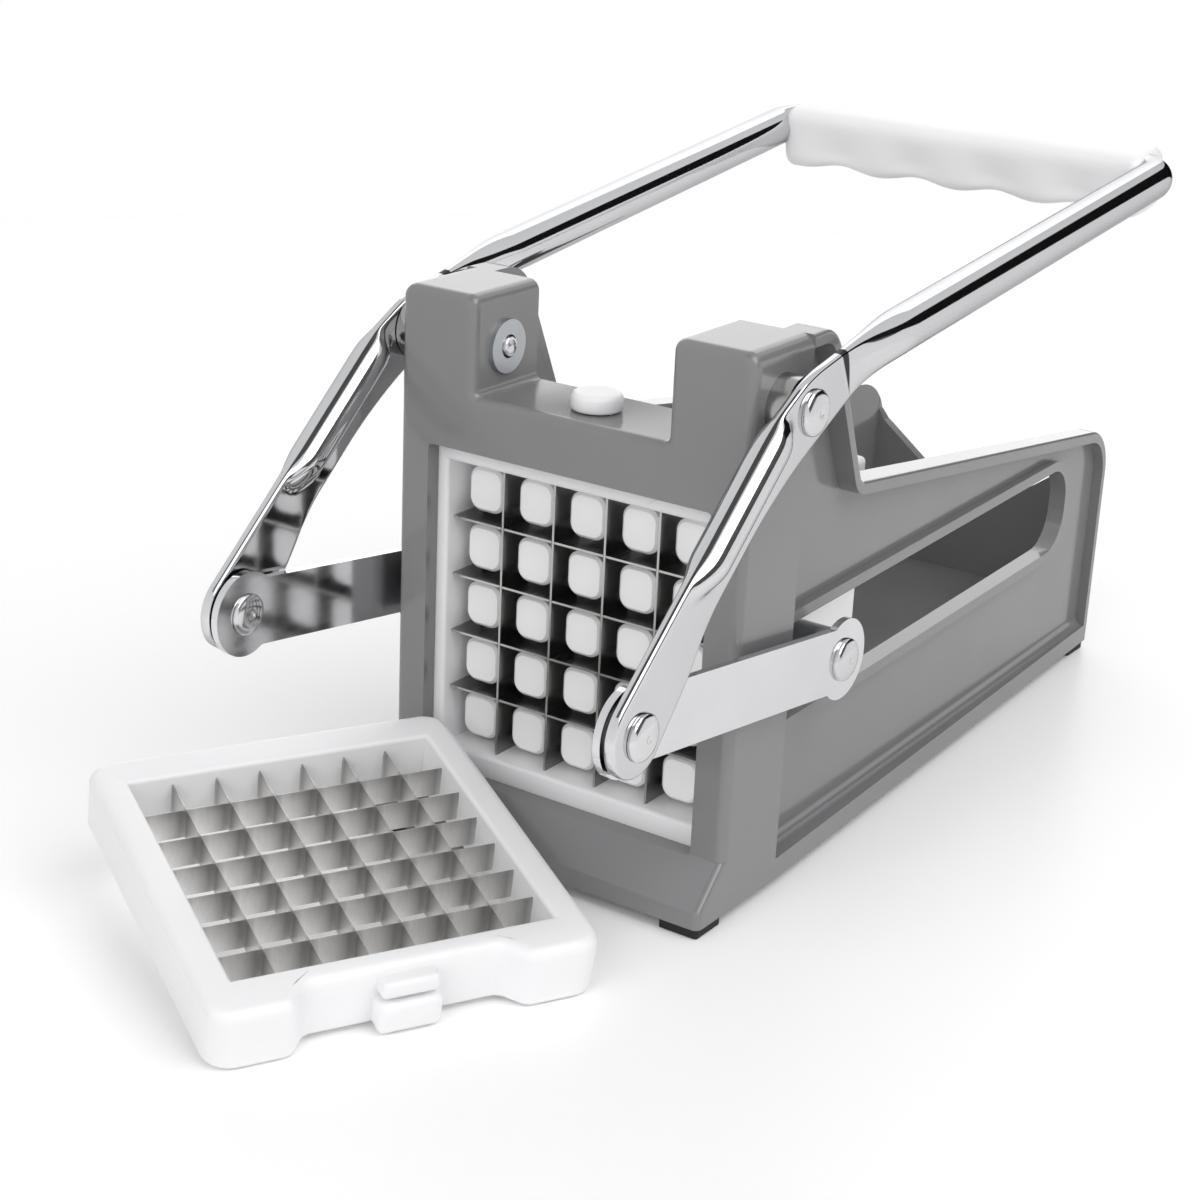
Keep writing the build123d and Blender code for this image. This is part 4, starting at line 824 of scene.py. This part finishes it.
def brushed_steel_and_painted_shade(name, place, along):
    """Fine strips under brushing: painted shade runs dark to light in each cell, and a painted floor
    reflection pales them downwards.
    """
    s = Shader(name)
    s.set(Metallic=0.6)
    face, own = at(*place.translation), place.to_3x3()
    run = s.distance(own @ Vector(along), face)
    cells = s.calculated("MULTIPLY_ADD", run, 1 / FINE_PITCH, FINE_CELLS / 2)
    # Painted shade over each cell, dark beside one crossing strip and light towards the next.
    tone = s.ramp(s.calculated("FRACT", cells), *CELL_PAINTED_SHADE)
    # Painted reflection of the floor: the strips pale downwards.
    painted_reflection = s.mapped(s.distance(own @ Vector((0, 0, -1)), face), 0.72, 1.28, -STRIP_TOP, PAINTED_REFLECTION_DEPTH)
    brushing = s.noise(BRUSHING, 2)
    shade = s.calculated("MULTIPLY", painted_reflection, s.mapped(brushing, 0.88, 1.06))
    tinted = s.node("ShaderNodeVectorMath", operation="SCALE")
    tinted.inputs[0].default_value = STRIP_TINT
    s.link(s.calculated("MULTIPLY", tone, shade), tinted.inputs["Scale"])
    s.base(tinted.outputs[0])
    s.rough(s.mapped(brushing, 0.26, 0.36))
    return s.material


def make_strips(name, place, node, lengthwise, material):
    """Six upright strips of the fine grid, each ground to a thin cutting edge."""
    low, shoulder = STRIP_TOP - STRIP_DEPTH, STRIP_TOP - STRIP_BEVEL
    outline = (
        (-STRIP_HALF, low), (STRIP_HALF, low), (STRIP_HALF, shoulder), (STRIP_EDGE_HALF, STRIP_TOP),
        (-STRIP_EDGE_HALF, STRIP_TOP), (-STRIP_HALF, shoulder),
    )
    points, faces = [], []
    for number in range(1, FINE_CELLS):
        middle = (number - FINE_CELLS / 2) * FINE_PITCH
        rings = []
        for k in range(STRIP_STEPS + 1):
            along = STRIP_REACH * (2 * k / STRIP_STEPS - 1)
            ring = []
            for across, z in outline:
                p = (middle + across, along, z) if lengthwise else (along, middle + across, z)
                ring.append(tuple(place @ Vector(p)))
            rings.append(ring)
        more, skinned = skin(rings, len(points))
        points, faces = points + more, faces + skinned
    new_piece(name, points, faces, material, node, "spare_cassette", "blade_steel", 20)


def make_cassettes(material):
    """The held frame upright behind the window, and the spare one with its strips, leaning on the toe."""
    upright = Matrix.Translation(HELD_PLACE) @ Matrix.Rotation(math.radians(90), 4, "X")
    leaning = (
        Matrix.Translation(SPARE_CORNER) @ Matrix.Rotation(math.radians(SPARE_TURN), 4, "Z")
        @ Matrix.Translation((RIM_HALF, (RIM_TOP - RIM_LOW) * math.cos(SPARE_TILT), 0))
        @ Matrix.Rotation(-SPARE_TILT, 4, "X") @ Matrix.Translation((0, -RIM_TOP, CASSETTE_DEPTH))
    )
    make_cassette("coarse_frame_moulding", upright, "coarse_cassette_frame", "base", material)
    make_cassette("fine_frame_moulding", leaning, "fine_cassette_frame", "spare_cassette", material)
    for lengthwise, along, word in ((True, (0, 1, 0), "lengthwise"), (False, (1, 0, 0), "crosswise")):
        steel = brushed_steel_and_painted_shade("brushed_" + word, leaning, along)
        make_strips("fine_strips_" + word, leaning, "fine_blades_" + word, lengthwise, steel)


# ---------------------------------------------------------------- studio
# Sizes, places and distances of the studio are in metres in the row frame.
FLOOR_HALF, FLOOR_DROP, FLOOR_FADE = 0.9, 0.0002, (0.30, 0.80)
WORLD_LIGHT = 0.46
SKY_LOW, SKY_HIGH = (0.0, (0.92, 0.92, 0.93)), (0.75, (0.78, 0.79, 0.80))


def make_floor():
    """White table round the object, which fades into the white world farther out."""
    mesh = bpy.data.meshes.new("floor")
    mesh.from_pydata([(FLOOR_HALF * a, FLOOR_HALF * b, 0) for a, b in SQUARE], [], [(0, 1, 2, 3)])
    floor = bpy.data.objects.new("floor", mesh)
    floor.location = (0, 0, -FLOOR_DROP)
    bpy.context.scene.collection.objects.link(floor)
    s = Shader("floor")
    s.set(Roughness=0.35, Specular_IOR_Level=0.25, Emission_Color=(1, 1, 1, 1), Emission_Strength=0.05)
    s.base(s.ramp(s.noise(3, 2), (0.3, 0.985), (0.7, 0.995)))
    distance = s.node("ShaderNodeVectorMath", operation="LENGTH")
    s.link(s.coords, distance.inputs[0])
    near, far = FLOOR_FADE
    faded = s.ramp(distance.outputs["Value"], (near, 0.0), (far, 1.0))
    clear = s.node("ShaderNodeBsdfTransparent").outputs[0]
    s.link(s.mixed(faded, s.principled.outputs[0], clear), s.surface)
    mesh.materials.append(s.material)


def area_light(name, place, aim, size, power, mirrored=False):
    """Square lamp that lights the scene; mirrors show it only where mirrored is set."""
    data = bpy.data.lights.new(name, "AREA")
    data.shape = "SQUARE"
    data.size = size
    data.energy = power
    lamp = bpy.data.objects.new(name, data)
    lamp.location = place
    lamp.rotation_euler = (Vector(aim) - Vector(place)).to_track_quat("-Z", "Y").to_euler()
    lamp.visible_glossy, lamp.visible_camera = mirrored, False
    bpy.context.scene.collection.objects.link(lamp)


def dark_card(name, place, aim, width, length, along, shade):
    """Studio flag that only mirrors see: it gives the plated tube its dark streaks."""
    facing = (Vector(aim) - Vector(place)).normalized()
    long_axis = (Vector(along) - Vector(along).dot(facing) * facing).normalized()
    side = long_axis.cross(facing)
    corners = [
        Vector(place) + a * width / 2 * side + b * length / 2 * long_axis for a, b in SQUARE
    ]
    mesh = bpy.data.meshes.new(name)
    mesh.from_pydata(corners, [], [(0, 1, 2, 3)])
    card = bpy.data.objects.new(name, mesh)
    bpy.context.scene.collection.objects.link(card)
    s = Shader(name)
    s.set(Roughness=1.0, Specular_IOR_Level=0.0)
    s.base(s.ramp(s.noise(4, 2), (0.3, shade), (0.7, shade * 1.2)))
    mesh.materials.append(s.material)
    card.visible_camera = card.visible_diffuse = card.visible_shadow = False


def make_world():
    """White surroundings: full for the camera, dimmer overhead in mirrors, and soft light for the rest."""
    world = bpy.data.worlds.new("studio")
    bpy.context.scene.world = world
    w = Nodes(world, "ShaderNodeOutputWorld")

    def background(strength):
        made = w.node("ShaderNodeBackground")
        made.inputs["Color"].default_value = (1, 1, 1, 1)
        made.inputs["Strength"].default_value = strength
        return made

    light, seen, mirrored = background(WORLD_LIGHT), background(1.0), background(1.0)
    axes = w.node("ShaderNodeSeparateXYZ")
    w.link(w.node("ShaderNodeTexCoord").outputs["Generated"], axes.inputs[0])
    w.link(w.ramp(axes.outputs["Z"], SKY_LOW, SKY_HIGH), mirrored.inputs["Color"])
    ray = w.node("ShaderNodeLightPath").outputs
    unseen = w.mixed(ray["Is Glossy Ray"], light.outputs[0], mirrored.outputs[0])
    w.link(w.mixed(ray["Is Camera Ray"], unseen, seen.outputs[0]), w.surface)


def make_studio():
    """Floor, world, three soft lamps, and the cards along the tube and along the arm."""
    make_floor()
    make_world()
    area_light("key", (0.95, -0.1, 1.1), aim=(0, 0, 0.05), size=1.2, power=10, mirrored=True)
    area_light("fill", (0.1, -1.35, 0.75), aim=(0, 0, 0.05), size=1.0, power=7)
    area_light("back", (-1.24, 1.88, 0.93), aim=(0, 0, 0.1), size=2.2, power=14.5, mirrored=True)
    tube = tube_middle(TUBE_REAR_X, TUBE_REAR_Y) - tube_middle(TUBE_FRONT_X, TUBE_FRONT_Y)
    dark_card("streak_card", (0.45, 0.90, 0.50), (0.05, 0.05, 0.12), 0.42, 1.6, tube.normalized(), 0.01)
    for name, place in (("side_card", (1.13, 0.22, 0.56)), ("top_card", (-0.10, -0.33, 1.21))):
        dark_card(name, place, (0.05, 0.0, 0.09), 0.62, 1.2, ALONG, 0.12)
    bpy.context.scene.view_settings.view_transform = "Standard"


make_camera()
plated, grip_white, rivet_steel, moulded_white = make_materials()
make_lever(plated)
make_grip(grip_white)
make_rivets(rivet_steel)
make_knob(moulded_white)
make_cassettes(moulded_white)
make_studio()
